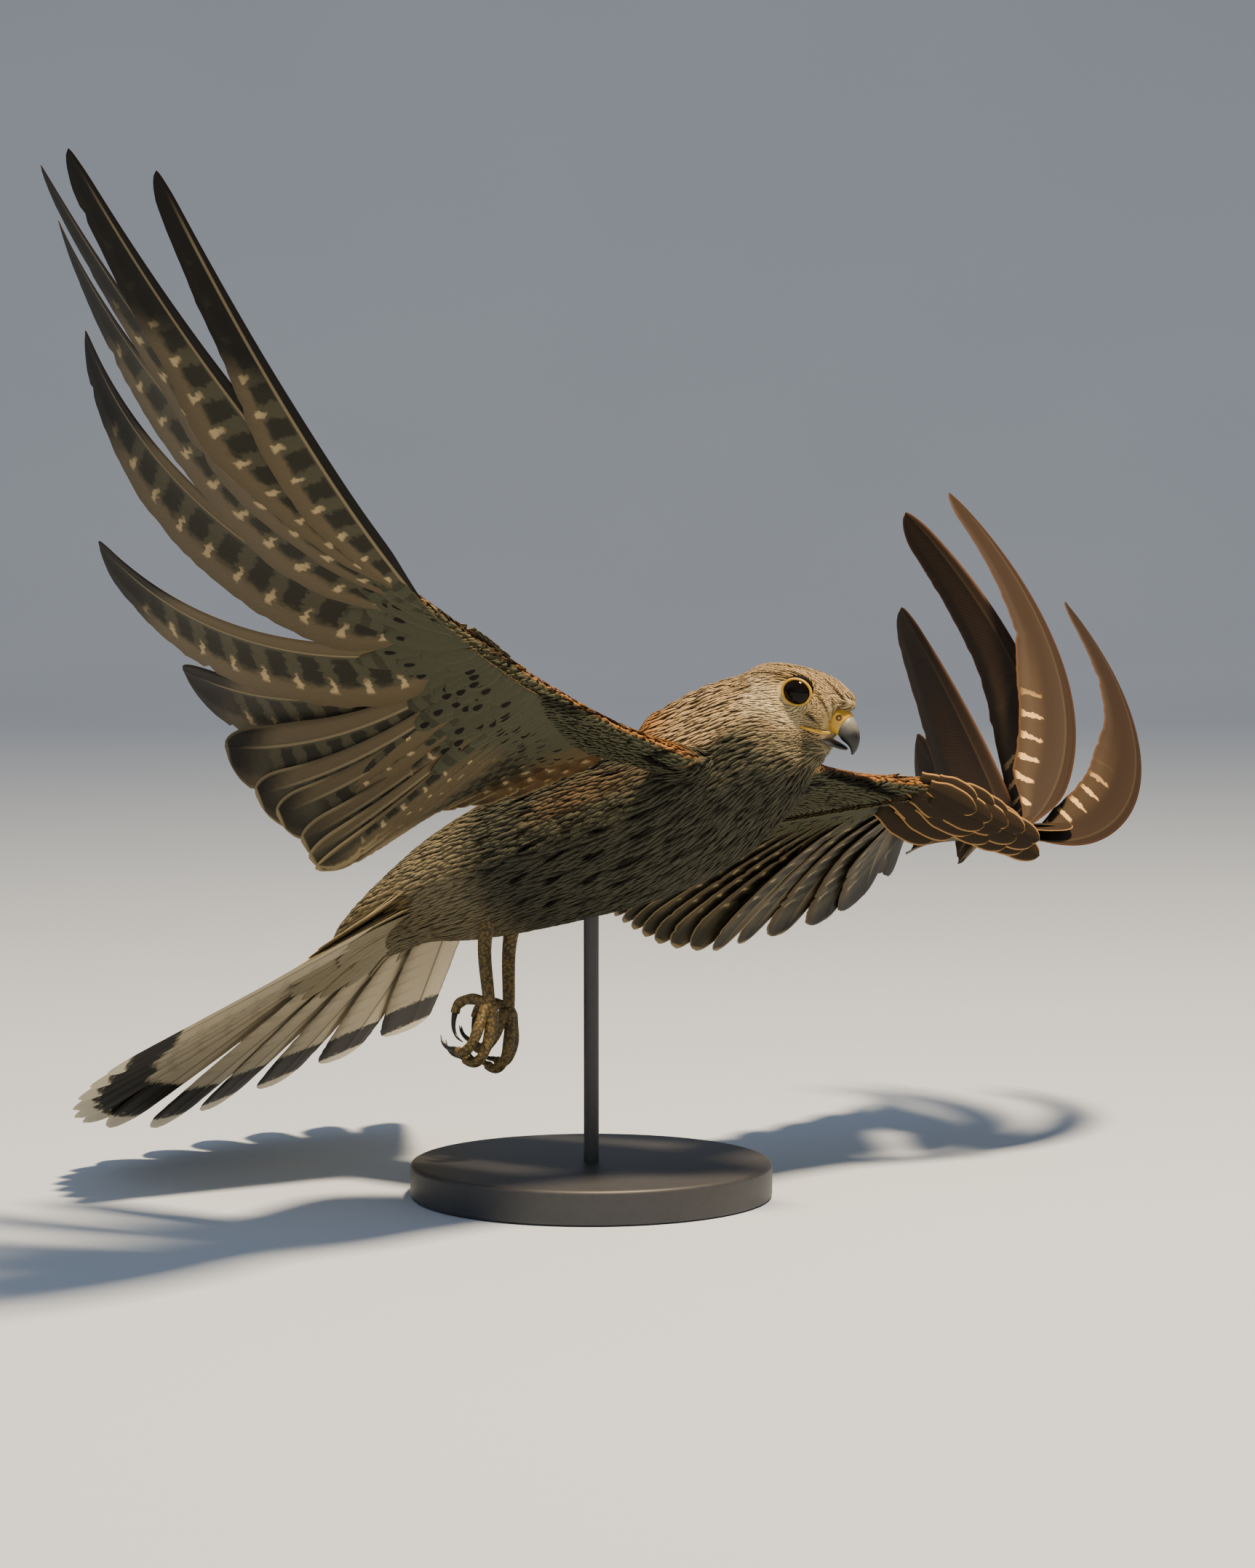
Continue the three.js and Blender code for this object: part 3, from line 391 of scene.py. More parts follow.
class Sheets:
    """Collects thin closed vanes, each with an upper and an under sheet."""

    def __init__(self, side=1):
        self.side = side
        self.points, self.quads, self.bake = [], [], []
        self.vane, self.kind, self.under = [], [], []
        self.count = 0

    def add(self, at, across, up, outer, inner, to_tip, tone, thick=0.34, ridge=0.35, camber=0.05):
        """A vane along the points at, with its axes and the half widths of its two webs."""
        shares = WEB_COLUMNS
        rows, columns = len(at), len(shares)
        width = np.where(shares < 0, outer[:, None], inner[:, None])
        lateral = shares * width
        near = np.abs(shares) == BESIDE_SHAFT
        shaft = SHAFT_HALF * np.clip(0.25 + to_tip / 60, 0, 1)[:, None]
        lateral[:, near] = np.sign(shares[near]) * np.minimum(shaft, 0.3 * width[:, near])
        sag = -camber * shares**2 * width
        body = thick * (1 - 0.72 * np.abs(shares)) + 0 * width
        body[:, shares == 0] += ridge * np.clip(0.2 + to_tip / 80, 0, 1)[:, None]
        middle = at[:, None] + across[:, None] * lateral[..., None] + up[:, None] * sag[..., None]
        offset = up[:, None] * (body / 2)[..., None]
        same = np.ones_like(lateral)
        along = np.linspace(0, 1, rows)[:, None] * same
        vane = np.stack([to_tip[:, None] * same, lateral, width - np.abs(lateral)], -1)
        kind = np.stack([along, tone[0] * same, tone[1] * same], -1)
        square = np.stack([lateral / CELL_WEB + 0.5, along], -1) * CELL_FILL + (1 - CELL_FILL) / 2
        for face, points in enumerate([middle + offset, middle - offset]):
            self.points.append(points.reshape(-1, 3))
            self.vane.append(vane.reshape(-1, 3))
            self.kind.append(kind.reshape(-1, 3))
            self.under.append(np.full(rows * columns, float(face)))
            self.bake.append(square.reshape(-1, 2))
        self.quads.append(self.closed(rows, columns) + self.count)
        self.count += 2 * rows * columns

    @staticmethod
    def closed(rows, columns):
        """Faces of an upper sheet, an under sheet and the rim between them."""
        index = np.arange(rows * columns).reshape(rows, columns)
        under = index + rows * columns
        a, b, c, d = index[:-1, :-1], index[1:, :-1], index[1:, 1:], index[:-1, 1:]
        upper_sheet = np.stack([a, b, c, d], -1).reshape(-1, 4)
        under_sheet = np.stack([a, d, c, b], -1).reshape(-1, 4) + rows * columns
        ring = np.concatenate([index[0, :-1], index[:-1, -1], index[-1, :0:-1], index[:0:-1, 0]])
        other = np.concatenate([under[0, :-1], under[:-1, -1], under[-1, :0:-1], under[:0:-1, 0]])
        rim = np.stack([ring, np.roll(ring, -1), np.roll(other, -1), other], -1)
        return np.concatenate([upper_sheet, under_sheet, rim])

    def piece(self, name, slot, nodes=()):
        """All the vanes as one piece, mirrored on the right side."""
        points = to_row(np.concatenate(self.points) * [1, self.side, 1])
        quads = np.concatenate(self.quads)[:, ::self.side]
        kept = {"vane": self.vane, "kind": self.kind, "under": self.under}
        attributes = {key: np.concatenate(parts) for key, parts in kept.items()}
        # Each sheet has a cell of its own in the bake layout.
        cells = math.ceil(math.sqrt(len(self.bake)))
        bake = [(divmod(k, cells) + square) / cells for k, square in enumerate(self.bake)]
        return make_piece(name, points, quads, attributes, np.concatenate(bake), nodes)


def rounded(share, length):
    """How a web narrows to a round tip over its last part."""
    t = np.clip((share - (1 - length)) / length, 0, 1)
    return np.sqrt(np.maximum(1 - t**2, 0.002))


def crowded(count, power):
    """Shares 0 to 1 along a feather, closer together towards its tip."""
    return 1 - (1 - np.linspace(0, 1, count)) ** power


def covert_web(share, wide, root=0.55):
    """Half widths of a covert, from its narrower root to its round tip."""
    return wide * (root + (1 - root) * smooth(0, 0.4, share)) * rounded(share, 0.4)


def wing_feather(sheets, wing, i):
    """One flight feather: two webs about its shaft, each with a slightly torn edge."""
    share = crowded(FLIGHT_ROWS, 1.25)
    number = np.full(FLIGHT_ROWS, float(i))
    _, across, up, spacing = wing.frame(number, share)
    length, outer, inner = sample(FEATHERS, [i])[0]
    tapered = TAPERED if i <= LAST_TAPERED else BLUNT
    shares = sample(POINTED if i <= LAST_POINTED else tapered, share)
    cap = rounded(share, 0.06 if i <= LAST_TAPERED else 0.15)
    # The long feathers are slim where their roots leave the hand.
    if 0 < i <= LAST_TAPERED + 1:
        cap = cap * (1 - 0.7 * smooth(0.2, 0, share))
    # The left hand is curled over, so its middle feathers show slim to half their length.
    if wing.side > 0 and 3 < i < 7:
        cap = cap * (1 - 0.5 * smooth(0.55, 0.35, share))
    outer_web = np.minimum(outer * shares[:, 0], spacing * OUTER_LAP + 1) * cap
    inner_web = np.minimum(inner * shares[:, 1], spacing * INNER_LAP + 1) * cap
    # The left wing's outermost feather is turned flat to the view.
    if wing.side > 0 and i == 0:
        inner_web = inner_web * 1.4
    to_tip = (1 - share) * length
    ragged = 1 + 0.012 * RNG.normal(size=FLIGHT_ROWS)
    # A gap or two where the barbs have parted.
    for place in RNG.uniform(0.45, 0.93, 2):
        ragged -= RNG.uniform(0.05, 0.16) * np.exp(-(((share - place) * length / 0.9) ** 2))
    tone = (i / LAST_FEATHER, RNG.random())
    sheets.add(wing.point(number, share), across, up, outer_web, inner_web * ragged, to_tip, tone)


# Rows of coverts: start and end along the flight feather as a share of the greater coverts'
# reach, lift above its root and its tip, and how many lie to a feather.
COVERT_ROWS = [
    [0.06, 1.0, 2.0, 0.9, 1],
    [0.0, 0.8, 2.9, 1.3, 1.3],
    [-0.03, 0.62, 3.7, 1.9, 1.6],
    [-0.05, 0.46, 4.5, 2.7, 1.9],
    [-0.06, 0.32, 5.2, 3.6, 2.2],
]
# How far the greater coverts reach along each numbered feather.
COVERT_REACH = [[0, 0.13], [2, 0.16], [5, 0.26], [9, 0.36], [12, 0.44], [24, 0.5]]


def covert_row(sheets, wing, row, sign):
    """One tier of coverts above (sign 1) or below (sign -1) the flight feathers."""
    start, end, root_lift, tip_lift, density = COVERT_ROWS[row]
    first = 8.5 if sign < 0 and wing.side > 0 else 1.2 + row
    share = crowded(COVERT_POINTS, 1.3)
    for k in range(int((LAST_FEATHER - first - 0.2) * density)):
        i = first + (k + 0.5 * (row % 2)) / density + 0.08 * RNG.normal()
        reach = sample(COVERT_REACH, [i])[0, 0] * (1 + 0.06 * RNG.normal())
        # The left hand has its own neat coverts there.
        if wing.side > 0 and 2.5 < i < 10.5:
            continue
        length = sample(FEATHERS, [i])[0, 0] * reach
        t = (start + (end - start) * share) * reach
        number = np.full(COVERT_POINTS, i)
        ahead, _, up, spacing = wing.frame(number, np.maximum(t, 0))
        lift = root_lift + (tip_lift - root_lift) * smooth(0, 1, share)
        lift = lift * (0.75 + 0.25 * smooth(2, 8, i)) + 0.15 * RNG.random()
        # On the left hand the coverts lie more along its bones than the flight feathers do.
        lean = 0.6 * (1 - smooth(6, 12, i)) * (wing.side > 0)
        along = (t * length / reach)[:, None]
        at = wing.point(number, t) + (wing.hand * lean - ahead * lean * 0.5) * along
        ahead = unit(np.gradient(at, axis=0))
        up = unit(square_to(up, ahead))
        across = np.cross(up, ahead)
        at = at + up * (sign * lift)[:, None]
        width = covert_web(share, np.minimum(0.62 * spacing / density + 1.3, 5.2))
        tone = (i / LAST_FEATHER + row, RNG.random())
        to_tip = (1 - share) * length * (end - start)
        sheets.add(at, across, up, width, width, to_tip, tone, thick=0.3, ridge=0.1, camber=0.12 * sign)


# The left hand's coverts: how far below its bones in the picture, lift, length, half width.
HAND_COVERTS = [[5, 3.4, 26, 5.2], [1.5, 4.6, 25, 5], [-2, 5.2, 22, 4.4], [-5.5, 4.4, 18, 3.6]]


def hand_coverts(sheets, wing):
    """Neat coverts that lie outwards along the hand, over the roots of the long feathers."""
    facing = BIRD_TURN.T @ np.array(view_direction())
    down = unit(np.cross(wing.hand, facing))
    share = crowded(COVERT_POINTS, 1.3)
    same = np.ones((COVERT_POINTS, 1))
    for row, (below, lift, length, wide) in enumerate(HAND_COVERTS):
        for place in np.arange(-14 + 3 * (row % 2), 34, 7.5):
            ahead = unit(wing.hand + down * (0.05 + 0.03 * RNG.normal())) * same
            up = unit(square_to(facing, ahead))
            at = wing.bone(np.array([place])) + down * below * (1 - 0.4 * smooth(10, 46, place))
            at = at + ahead * (share * length)[:, None] + up * (lift + 0.8 * share)[:, None]
            width = covert_web(share, wide)
            tone = (0.1 + row, RNG.random())
            across, to_tip = np.cross(up, ahead), (1 - share) * length
            sheets.add(at, across, up, width, width, to_tip, tone, thick=0.3, ridge=0.1, camber=0.2)


def build_wing(name, wing):
    """A wing's flight feathers in one piece and its coverts in another."""
    flight = Sheets(wing.side)
    for i in range(LAST_FEATHER + 1):
        wing_feather(flight, wing, i)
    coverts = Sheets(wing.side)
    for row in range(len(COVERT_ROWS)):
        for sign in (1, -1):
            covert_row(coverts, wing, row, sign)
    if wing.side > 0:
        hand_coverts(coverts, wing)
    nodes = (f"wing_{name}_arm", f"wing_{name}_hand")
    flight = flight.piece(f"flight_{name}", "wing_feathers", nodes)
    return flight, coverts.piece(f"coverts_{name}", "wing_feathers")


def tail_heading(angle):
    """The direction of a tail feather so many degrees from the middle of the fan."""
    turned = math.radians(angle + TAIL["turn"])
    out = math.sin(turned)
    twist, droop = math.radians(TAIL["twist"]), math.radians(TAIL["droop"])
    up = out * math.sin(twist) - abs(out) * math.sin(droop) - math.sin(math.radians(TAIL["drop"]))
    return unit(np.array([-math.cos(turned), out * math.cos(twist), up]))


# Tail coverts: share of the fan, length, lift at the root and at the tip, half width, how many.
TAIL_COVERTS = [
    [0.85, 66, 4.2, 1.2, 6.5, 11],
    [0.7, 48, 6.5, 2.2, 6, 10],
    [0.85, 72, -3.6, -1.4, 6.5, 12],
    [0.75, 52, -6.5, -2.4, 6, 11],
]


def tail_axes(share):
    """Heading, sideways and upward axes at a place -1 to 1 across the tail's fan."""
    angle = share * (TAIL["left"] if share > 0 else TAIL["right"])
    ahead = tail_heading(angle)
    beside = unit(tail_heading(angle + 3) - tail_heading(angle - 3))
    up = unit(np.cross(ahead, beside))
    return ahead, beside, up if up[2] > 0 else -up


def build_tail():
    """Six pairs of tail feathers stacked from the middle, and their coverts."""
    sheets = Sheets()
    same = np.ones((TAIL_ROWS, 1))
    t = crowded(TAIL_ROWS, 1.3)
    for k in range(TAIL["pairs"] * 2):
        share = (k + 0.5) / TAIL["pairs"] - 1
        ahead, beside, up = tail_axes(share)
        rank = math.floor(abs(share) * TAIL["pairs"]) + (0.5 if share > 0 else 0)
        length = TAIL["centre_length"]
        length += (TAIL["outer_length"] - length) * abs(share) ** 1.6
        start = TAIL["root"] + beside * share * TAIL["spread"]
        start = start + up * TAIL["stack"] * (TAIL["pairs"] / 2 - rank)
        webs = sample(BLUNT, t) * rounded(t, 0.1)[:, None] * [TAIL["outer_web"], TAIL["inner_web"]]
        webs *= 1 + 0.012 * RNG.normal(size=(TAIL_ROWS, 2))
        at = start + ahead * (t * length)[:, None] - up * (TAIL["bend"] * t**2)[:, None]
        # The outer web faces away from the middle of the tail on both sides.
        outward = beside if share > 0 else -beside
        tone = (abs(share), RNG.random())
        add_flat(sheets, at, -outward * same, up * same, webs, (1 - t) * length, tone)
    for fan, length, root_lift, tip_lift, wide, count in TAIL_COVERTS:
        for share in np.linspace(-fan, fan, count) + RNG.normal(scale=0.02, size=count):
            ahead, beside, up = tail_axes(share)
            start = TAIL["root"] + beside * share * TAIL["spread"] * 1.2 - ahead * 12
            long = length * (1 - 0.15 * abs(share))
            lift = root_lift + (tip_lift - root_lift) * smooth(0, 1, t)
            webs = np.column_stack([covert_web(t, wide, root=0.5)] * 2)
            at = start + ahead * (t * long)[:, None] + up * lift[:, None]
            tone = (2 + abs(share) + 2 * (root_lift < 0), RNG.random())
            add_flat(sheets, at, beside * same, up * same, webs, (1 - t) * long, tone)
    return sheets.piece("tail_feathers", "tail_feathers", ("tail",))


def add_flat(sheets, at, inward, up, webs, to_tip, tone):
    """Adds a tail feather so that its sheets face out whichever side it lies on."""
    sheets.add(at, inward, up, webs[:, 0], webs[:, 1], to_tip, tone, camber=0.04)
    if np.dot(np.cross(at[-1] - at[0], inward[0]), up[0]) < 0:
        sheets.quads[-1] = sheets.quads[-1][:, ::-1]


# Solid pieces made from rings.


def only(*pieces):
    """Selects these pieces alone and makes the first of them active."""
    bpy.ops.object.select_all(action="DESELECT")
    for piece in pieces:
        piece.select_set(True)
    bpy.context.view_layer.objects.active = pieces[0]


def edit(selection="SELECT"):
    """Opens the active piece for editing, with all of it selected or none."""
    bpy.ops.object.mode_set(mode="EDIT")
    bpy.ops.mesh.select_all(action=selection)


def shut():
    bpy.ops.object.mode_set(mode="OBJECT")


def stretch(value, turn, centre):
    """Scales what is selected along turned axes."""
    bpy.ops.transform.resize(
        value=value, orient_type="GLOBAL", orient_matrix=turn, orient_matrix_type="GLOBAL",
        center_override=Vector(centre),
    )


def shaped(piece, kind, **settings):
    """Gives the active piece a modifier and applies it."""
    change = piece.modifiers.new(kind.lower(), kind)
    for key, value in settings.items():
        setattr(change, key, value)
    bpy.ops.object.modifier_apply(modifier=change.name)


def placed(kind, name, **settings):
    """A primitive at its size and place, with the place moved into its mesh."""
    bpy.ops.object.select_all(action="DESELECT")
    getattr(bpy.ops.mesh, f"primitive_{kind}_add")(**settings)
    piece = bpy.context.object
    piece.name = name
    bpy.ops.object.transform_apply(location=True, rotation=True, scale=True)
    bpy.ops.object.shade_smooth()
    return piece


def joined(pieces, name):
    only(*pieces)
    bpy.ops.object.join()
    pieces[0].name = name
    return pieces[0]


def lofted(name, sections, sides, levels=1):
    """A closed body through rings: each has a centre, side and up half axes, in the row frame."""
    piece = add_object(name, bpy.data.meshes.new(name))
    only(piece)
    edit()
    for centre, across, up in sections:
        turn = Matrix(np.column_stack([unit(across), unit(up), unit(np.cross(across, up))]).tolist())
        wide, high = np.linalg.norm(across), np.linalg.norm(up)
        bpy.ops.mesh.primitive_circle_add(
            vertices=sides, radius=wide, location=Vector(centre), rotation=turn.to_euler()
        )
        stretch((1, high / wide, 1), turn, centre)
    bpy.ops.mesh.select_all(action="SELECT")
    bpy.ops.mesh.bridge_edge_loops()
    bpy.ops.mesh.select_all(action="SELECT")
    bpy.ops.mesh.fill_holes(sides=0)
    bpy.ops.mesh.normals_make_consistent(inside=False)
    shut()
    if levels:
        shaped(piece, "SUBSURF", levels=levels, render_levels=levels)
    bpy.ops.object.shade_smooth()
    return piece


def in_row(direction):
    """A bird-frame direction and length as one in the row frame."""
    return np.asarray(direction, float) @ BIRD_TURN.T * MM


def head_in_row(direction):
    """A head-frame direction and length as one in the row frame."""
    return in_row(HEAD_TURN @ np.asarray(direction, float))


def tube_sections(path, radii):
    """Rings square to a path in the bird frame."""
    path = np.asarray(path, float)
    ahead = unit(np.gradient(path, axis=0))
    side = unit(square_to(np.array([0, 1.0, 0]) + 0 * ahead, ahead))
    up = np.cross(side, ahead)
    return [(to_row(p), in_row(s * r), in_row(u * r)) for p, s, u, r in zip(path, side, up, radii)]


def curve(points, count):
    """Evenly numbered points on a smooth curve through the given ones."""
    points = np.asarray(points, float)
    stations = np.column_stack([np.arange(len(points)), points])
    return sample(stations, np.linspace(0, len(points) - 1, count))


def head_sections(rows):
    """Rings of the cere or bill, each turned down by its angle."""
    sections = []
    for x, z, down, high, wide in rows:
        down = math.radians(down)
        up = head_in_row([math.sin(down) * high, 0, math.cos(down) * high])
        sections.append((to_row(from_head([x, 0, z])), head_in_row([0, wide, 0]), up))
    return sections


def build_eye(name, side):
    """An eyeball that bulges through the yellow ring of bare skin round it."""
    turn = Matrix((BIRD_TURN @ HEAD_TURN).tolist())
    low = (1, 1, EYE["flat"])
    at = to_row(from_head([EYE["x"], side * EYE["side"], EYE["z"]]))
    ball = placed("uv_sphere", f"eyeball_{name}", segments=64, ring_count=32,
                  radius=EYE["radius"] * MM, location=at)
    edit()
    stretch(low, turn, at)
    shut()
    depth = math.sqrt(EYE["radius"] ** 2 - (EYE["ring"] - 0.3) ** 2)
    look = Matrix.Rotation(math.radians(-side * EYE["turn"]), 3, "Z")
    out = look @ Vector((0, side * depth, 0))
    at = to_row(from_head([EYE["x"] + out[0], side * EYE["side"] + out[1], EYE["z"]]))
    facing = turn @ look @ Matrix.Rotation(math.pi / 2, 3, "X")
    ring = placed("torus", f"eye_ring_{name}", major_segments=64, minor_segments=16, location=at,
                  major_radius=EYE["ring"] * MM, minor_radius=EYE["lid"] * MM, rotation=facing.to_euler())
    edit()
    stretch(low, turn, at)
    shut()
    return [dress(ball, (f"eye_{name}",)), dress(ring)]


def build_face():
    """Cere, bill, eyes, eye rings and the yellow corners of the mouth."""
    made = []
    for name, rows, slot, node in (("cere_skin", CERE, "cere", "cere"),
                                   ("bill_top", UPPER_BILL, "bill", "bill_upper"),
                                   ("bill_bottom", LOWER_BILL, "bill", "bill_lower")):
        made.append(dress(lofted(name, head_sections(rows), 20), (node,)))
    for name, side in (("left", 1), ("right", -1)):
        made += build_eye(name, side)
        edge = curve(np.array(GAPE) * [1, side, 1], 14)
        radii = 0.22 + 0.46 * np.sin(np.linspace(0.25, 2.6, 14))
        made.append(dress(lofted(f"gape_{name}", tube_sections(from_head(edge), radii), 12)))
    return made


def foot_point(leg, points):
    """Places in a foot's own frame as bird-frame points."""
    x, y, z = np.asarray(points, float).T
    jx, jy, jz = leg["joint"]
    return np.column_stack([jx + x * leg["span"], (jy + y) * leg["side"], jz + z * leg["span"]])


def build_leg(name, leg):
    """A shank, four knuckled toes joined in one foot, and their hooked claws."""
    flip = np.array([1, leg["side"], 1])
    hip, ankle, joint = (np.array(leg[key]) * flip for key in ("hip", "ankle", "joint"))
    shank = curve([hip, ankle, joint * 0.8 + ankle * 0.2, joint + [0, 0, 0.5]], 9)
    radii = np.interp(np.linspace(0, 1, 9), [0, 0.35, 0.9, 1], [3.2, 2.5, 2.1, 2.4])
    piece = lofted(f"shank_{name}", tube_sections(shank, radii), 12)
    made, toes = [dress(piece, (f"leg_{name}",))], []
    for toe, path in TOES.items():
        line = curve(foot_point(leg, path), 12)
        radii = np.linspace(2.1, 1.7, 12) * (1 + 0.1 * np.cos(np.linspace(0, 6 * math.pi, 12)))
        toes.append(lofted(f"toe_{name}_{toe}", tube_sections(line, radii), 12))
        end, ahead = line[-1], unit(line[-1] - line[-2])
        hook = np.vstack([end - ahead * 0.3, end + ahead * 1.2, foot_point(leg, CLAWS[toe])])
        radii = np.linspace(1, 0, 10) ** 0.8 * 1.1 + 0.14
        piece = lofted(f"talon_{name}_{toe}", tube_sections(curve(hook, 10), radii), 10)
        made.append(dress(piece, (f"claw_{name}_{toe}",)))
    knuckle = placed("uv_sphere", f"knuckle_{name}", segments=24, ring_count=12, radius=2.9 * MM,
                     location=to_row(foot_point(leg, [[-0.4, 0, -0.6]])[0]))
    foot = joined([knuckle, *toes], f"toes_{name}")
    return made + [dress(foot, (f"foot_{name}",))]


def build_stand():
    """A round base with a softened edge, and the rod up to the bird's belly."""
    base = placed("cylinder", "base_disc", vertices=160, radius=BASE["radius"] * MM,
                  depth=BASE["height"] * MM, location=(0, 0, BASE["height"] / 2 * MM))
    shaped(base, "BEVEL", width=BASE["bevel"] * MM, segments=5, limit_method="ANGLE",
           angle_limit=math.radians(50))
    bpy.ops.object.shade_smooth_by_angle(angle=math.radians(35))
    top = SHOULDERS_AT[2] - ROD["drop"]
    bottom = BASE["height"] - 0.5
    rod = placed("cylinder", "rod_tube", vertices=48, radius=ROD["radius"] * MM,
                 depth=(top - bottom) * MM, location=(0, 0, (top + bottom) / 2 * MM))
    bpy.ops.object.shade_smooth_by_angle(angle=math.radians(35))
    return [dress(base, ("stand_base",)), dress(rod, ("stand_rod",))]


# Skin.


def trunk_sections():
    """Rings of the trunk, in by the coat's depth."""
    sections = []
    stations = np.linspace(TRUNK[0][0] + 4, TRUNK[-1][0] - 2, 24)
    rows = np.column_stack([stations, sample(TRUNK, stations)])
    ahead = unit(np.gradient(rows[:, :3], axis=0))
    side = unit(np.cross(np.array([0, 0, 1.0]) + 0 * ahead, ahead))
    up = np.cross(ahead, side)
    for row, s, u in zip(rows, side, up):
        wide, high = (max(value - COAT_DEPTH, 0.8) for value in row[3:])
        sections.append((to_row(row[:3]), in_row(s * wide), in_row(u * high)))
    return sections


def skull_sections():
    """Rings of the head, in by the depth of its shorter coat."""
    sections = []
    for x in np.linspace(SKULL[0][0] + 1, SKULL[-1][0], 14):
        top, bottom, wide = sample(SKULL, [x])[0]
        high = (top - bottom) / 2 - HEAD_COAT
        centre = to_row(from_head([x, 0, (top + bottom) / 2]))
        sections.append((centre, head_in_row([0, wide - HEAD_COAT, 0]), head_in_row([0, 0, high])))
    return sections


def filling_sections(centre, radii):
    """Rings of an egg-shaped filling."""
    sections = []
    for along in np.linspace(-0.98, 0.98, 9):
        _, wide, high = np.array(radii) * math.sqrt(1 - along**2)
        at = from_head(np.array(centre) + [along * radii[0], 0, 0])
        sections.append((to_row(at), head_in_row([0, wide, 0]), head_in_row([0, 0, high])))
    return sections


def arm_sections(wing):
    """Flat rings out along the arm, from the skin at its leading edge to behind the bones."""
    flip = np.array([1, wing.side, 1])
    length = np.linalg.norm(wing.wrist - wing.elbow) + np.linalg.norm(wing.elbow - SHOULDER)
    sections = []
    for share in np.linspace(0, 1, 9):
        front = wing.front * (1 - share) + (wing.wrist + [WRIST_FRONT, 0, 0]) * share
        front = front - [PATAGIUM_HOLLOW * math.sin(share * math.pi), 0, 0]
        back = wing.bone(np.array([-(1 - share) * length]))[0] - [ARM_BACK * (1 - 0.3 * share), 0, 0]
        thick = ARM_THICK[0] * (1 - share) + ARM_THICK[1] * share - 1
        sections.append(flat_section(front, back, np.array([0, 0, 1.0]), thick, flip))
    return sections


def hand_sections(wing):
    """Flat rings out along the hand's bones."""
    flip = np.array([1, wing.side, 1])
    up = wing.frame(np.array([4.0]), np.array([0.0]))[2][0]
    forward = unit(np.cross(wing.hand, up))
    if forward[0] < 0:
        forward = -forward
    sections = []
    for share in np.linspace(0, 1, 7):
        centre = wing.wrist + wing.hand * (share * HAND_LENGTH - 1)
        front = centre + forward * (WRIST_FRONT * (1 - share) + 2 * share)
        back = centre - forward * (7 * (1 - share) + 3 * share)
        thick = HAND_THICK[0] * (1 - share) + HAND_THICK[1] * share - 0.8
        sections.append(flat_section(front, back, up, thick, flip))
    return sections


def flat_section(front, back, up, thick, flip):
    """A ring between a front and a back point, so thick to either side."""
    chord = (front - back) / 2
    across = unit(chord) * max(np.linalg.norm(chord) - 0.8, 1)
    rise = unit(square_to(up, unit(chord))) * thick * 0.85
    return to_row((front + back) / 2 * flip), in_row(across * flip), in_row(rise * flip)


def build_skin(wings):
    """One skin over trunk, head, arms and hands, fused and relaxed, with its bake layout."""
    parts = [lofted("skin", trunk_sections(), 28, 0), lofted("skull", skull_sections(), 28, 0)]
    parts += [lofted("filling", filling_sections(*row), 24, 0) for row in FILLINGS]
    for name, wing in wings.items():
        parts.append(lofted(f"arm_{name}", arm_sections(wing), 24, 0))
        parts.append(lofted(f"hand_{name}", hand_sections(wing), 20, 0))
    skin = joined(parts, "skin")
    skin.data.remesh_voxel_size = SKIN_VOXEL * MM
    bpy.ops.object.voxel_remesh()
    shaped(skin, "SMOOTH", iterations=8, factor=0.5)
    bpy.ops.object.shade_smooth()
    # The rings leave a layout of their own, so this one is made active for the unwrap.
    skin.data.uv_layers.new(name="OFBake").active = True
    edit()
    bpy.ops.uv.smart_project(angle_limit=math.radians(66), island_margin=0.001)
    shut()
    return dress(skin, ("torso", "neck", "head"))


# Plumage map.

# How softly a point takes its place from the nearest stations, in square millimetres.
BODY_BLEND, WING_BLEND = 400.0, 60.0
# Points are placed this many at a time, to keep the tables small.
BATCH = 8000


def spine():
    """Stations down the middle of the bird, bill to tail: centre, heading to the bill, up."""
    stations = np.linspace(-160, 24, 50)
    centres = np.column_stack([stations, sample(TRUNK, stations)[:, :2]])
    snout = from_head([[-2, 0, -2], [8, 0, -4], [22, 0, -6]])
    path = curve(np.vstack([centres[::7], snout]), 70)
    ahead = unit(np.gradient(path, axis=0))
    tilt = smooth(18, 38, path[:, 0])[:, None]
    up = np.array([0, 0, 1.0]) * (1 - tilt) + HEAD_TURN[:, 2] * tilt
    up = unit(square_to(up, ahead))
    length = np.concatenate([[0], np.cumsum(np.linalg.norm(np.diff(path, axis=0), axis=1))])
    return path, ahead, up, length


def near_stations(points, stations, blend):
    """Weights of the stations for each point, almost all on the nearest."""
    gap = np.sum((points[:, None] - stations[None]) ** 2, axis=2)
    weight = np.exp(-(gap - gap.min(axis=1, keepdims=True)) / blend)
    return weight / weight.sum(axis=1, keepdims=True)


def body_place(points):
    """For bird-frame points: heading to the tail, arc round the body, place along it, radius."""
    path, ahead, up, length = spine()
    heading, arc, along, radius = [], [], [], []
    for part in np.array_split(points, max(len(points) // BATCH, 1)):
        weight = near_stations(part, path, BODY_BLEND)
        offset = part - weight @ path
        a, u = unit(weight @ ahead), unit(weight @ up)
        side = np.cross(u, a)
        arc.append(np.arctan2(np.sum(offset * side, 1), np.sum(offset * u, 1)))
        radius.append(np.linalg.norm(square_to(offset, a), axis=1))
        heading.append(-a)
        along.append(weight @ length)
    return np.vstack(heading), np.concatenate(arc), np.concatenate(along), np.concatenate(radius)


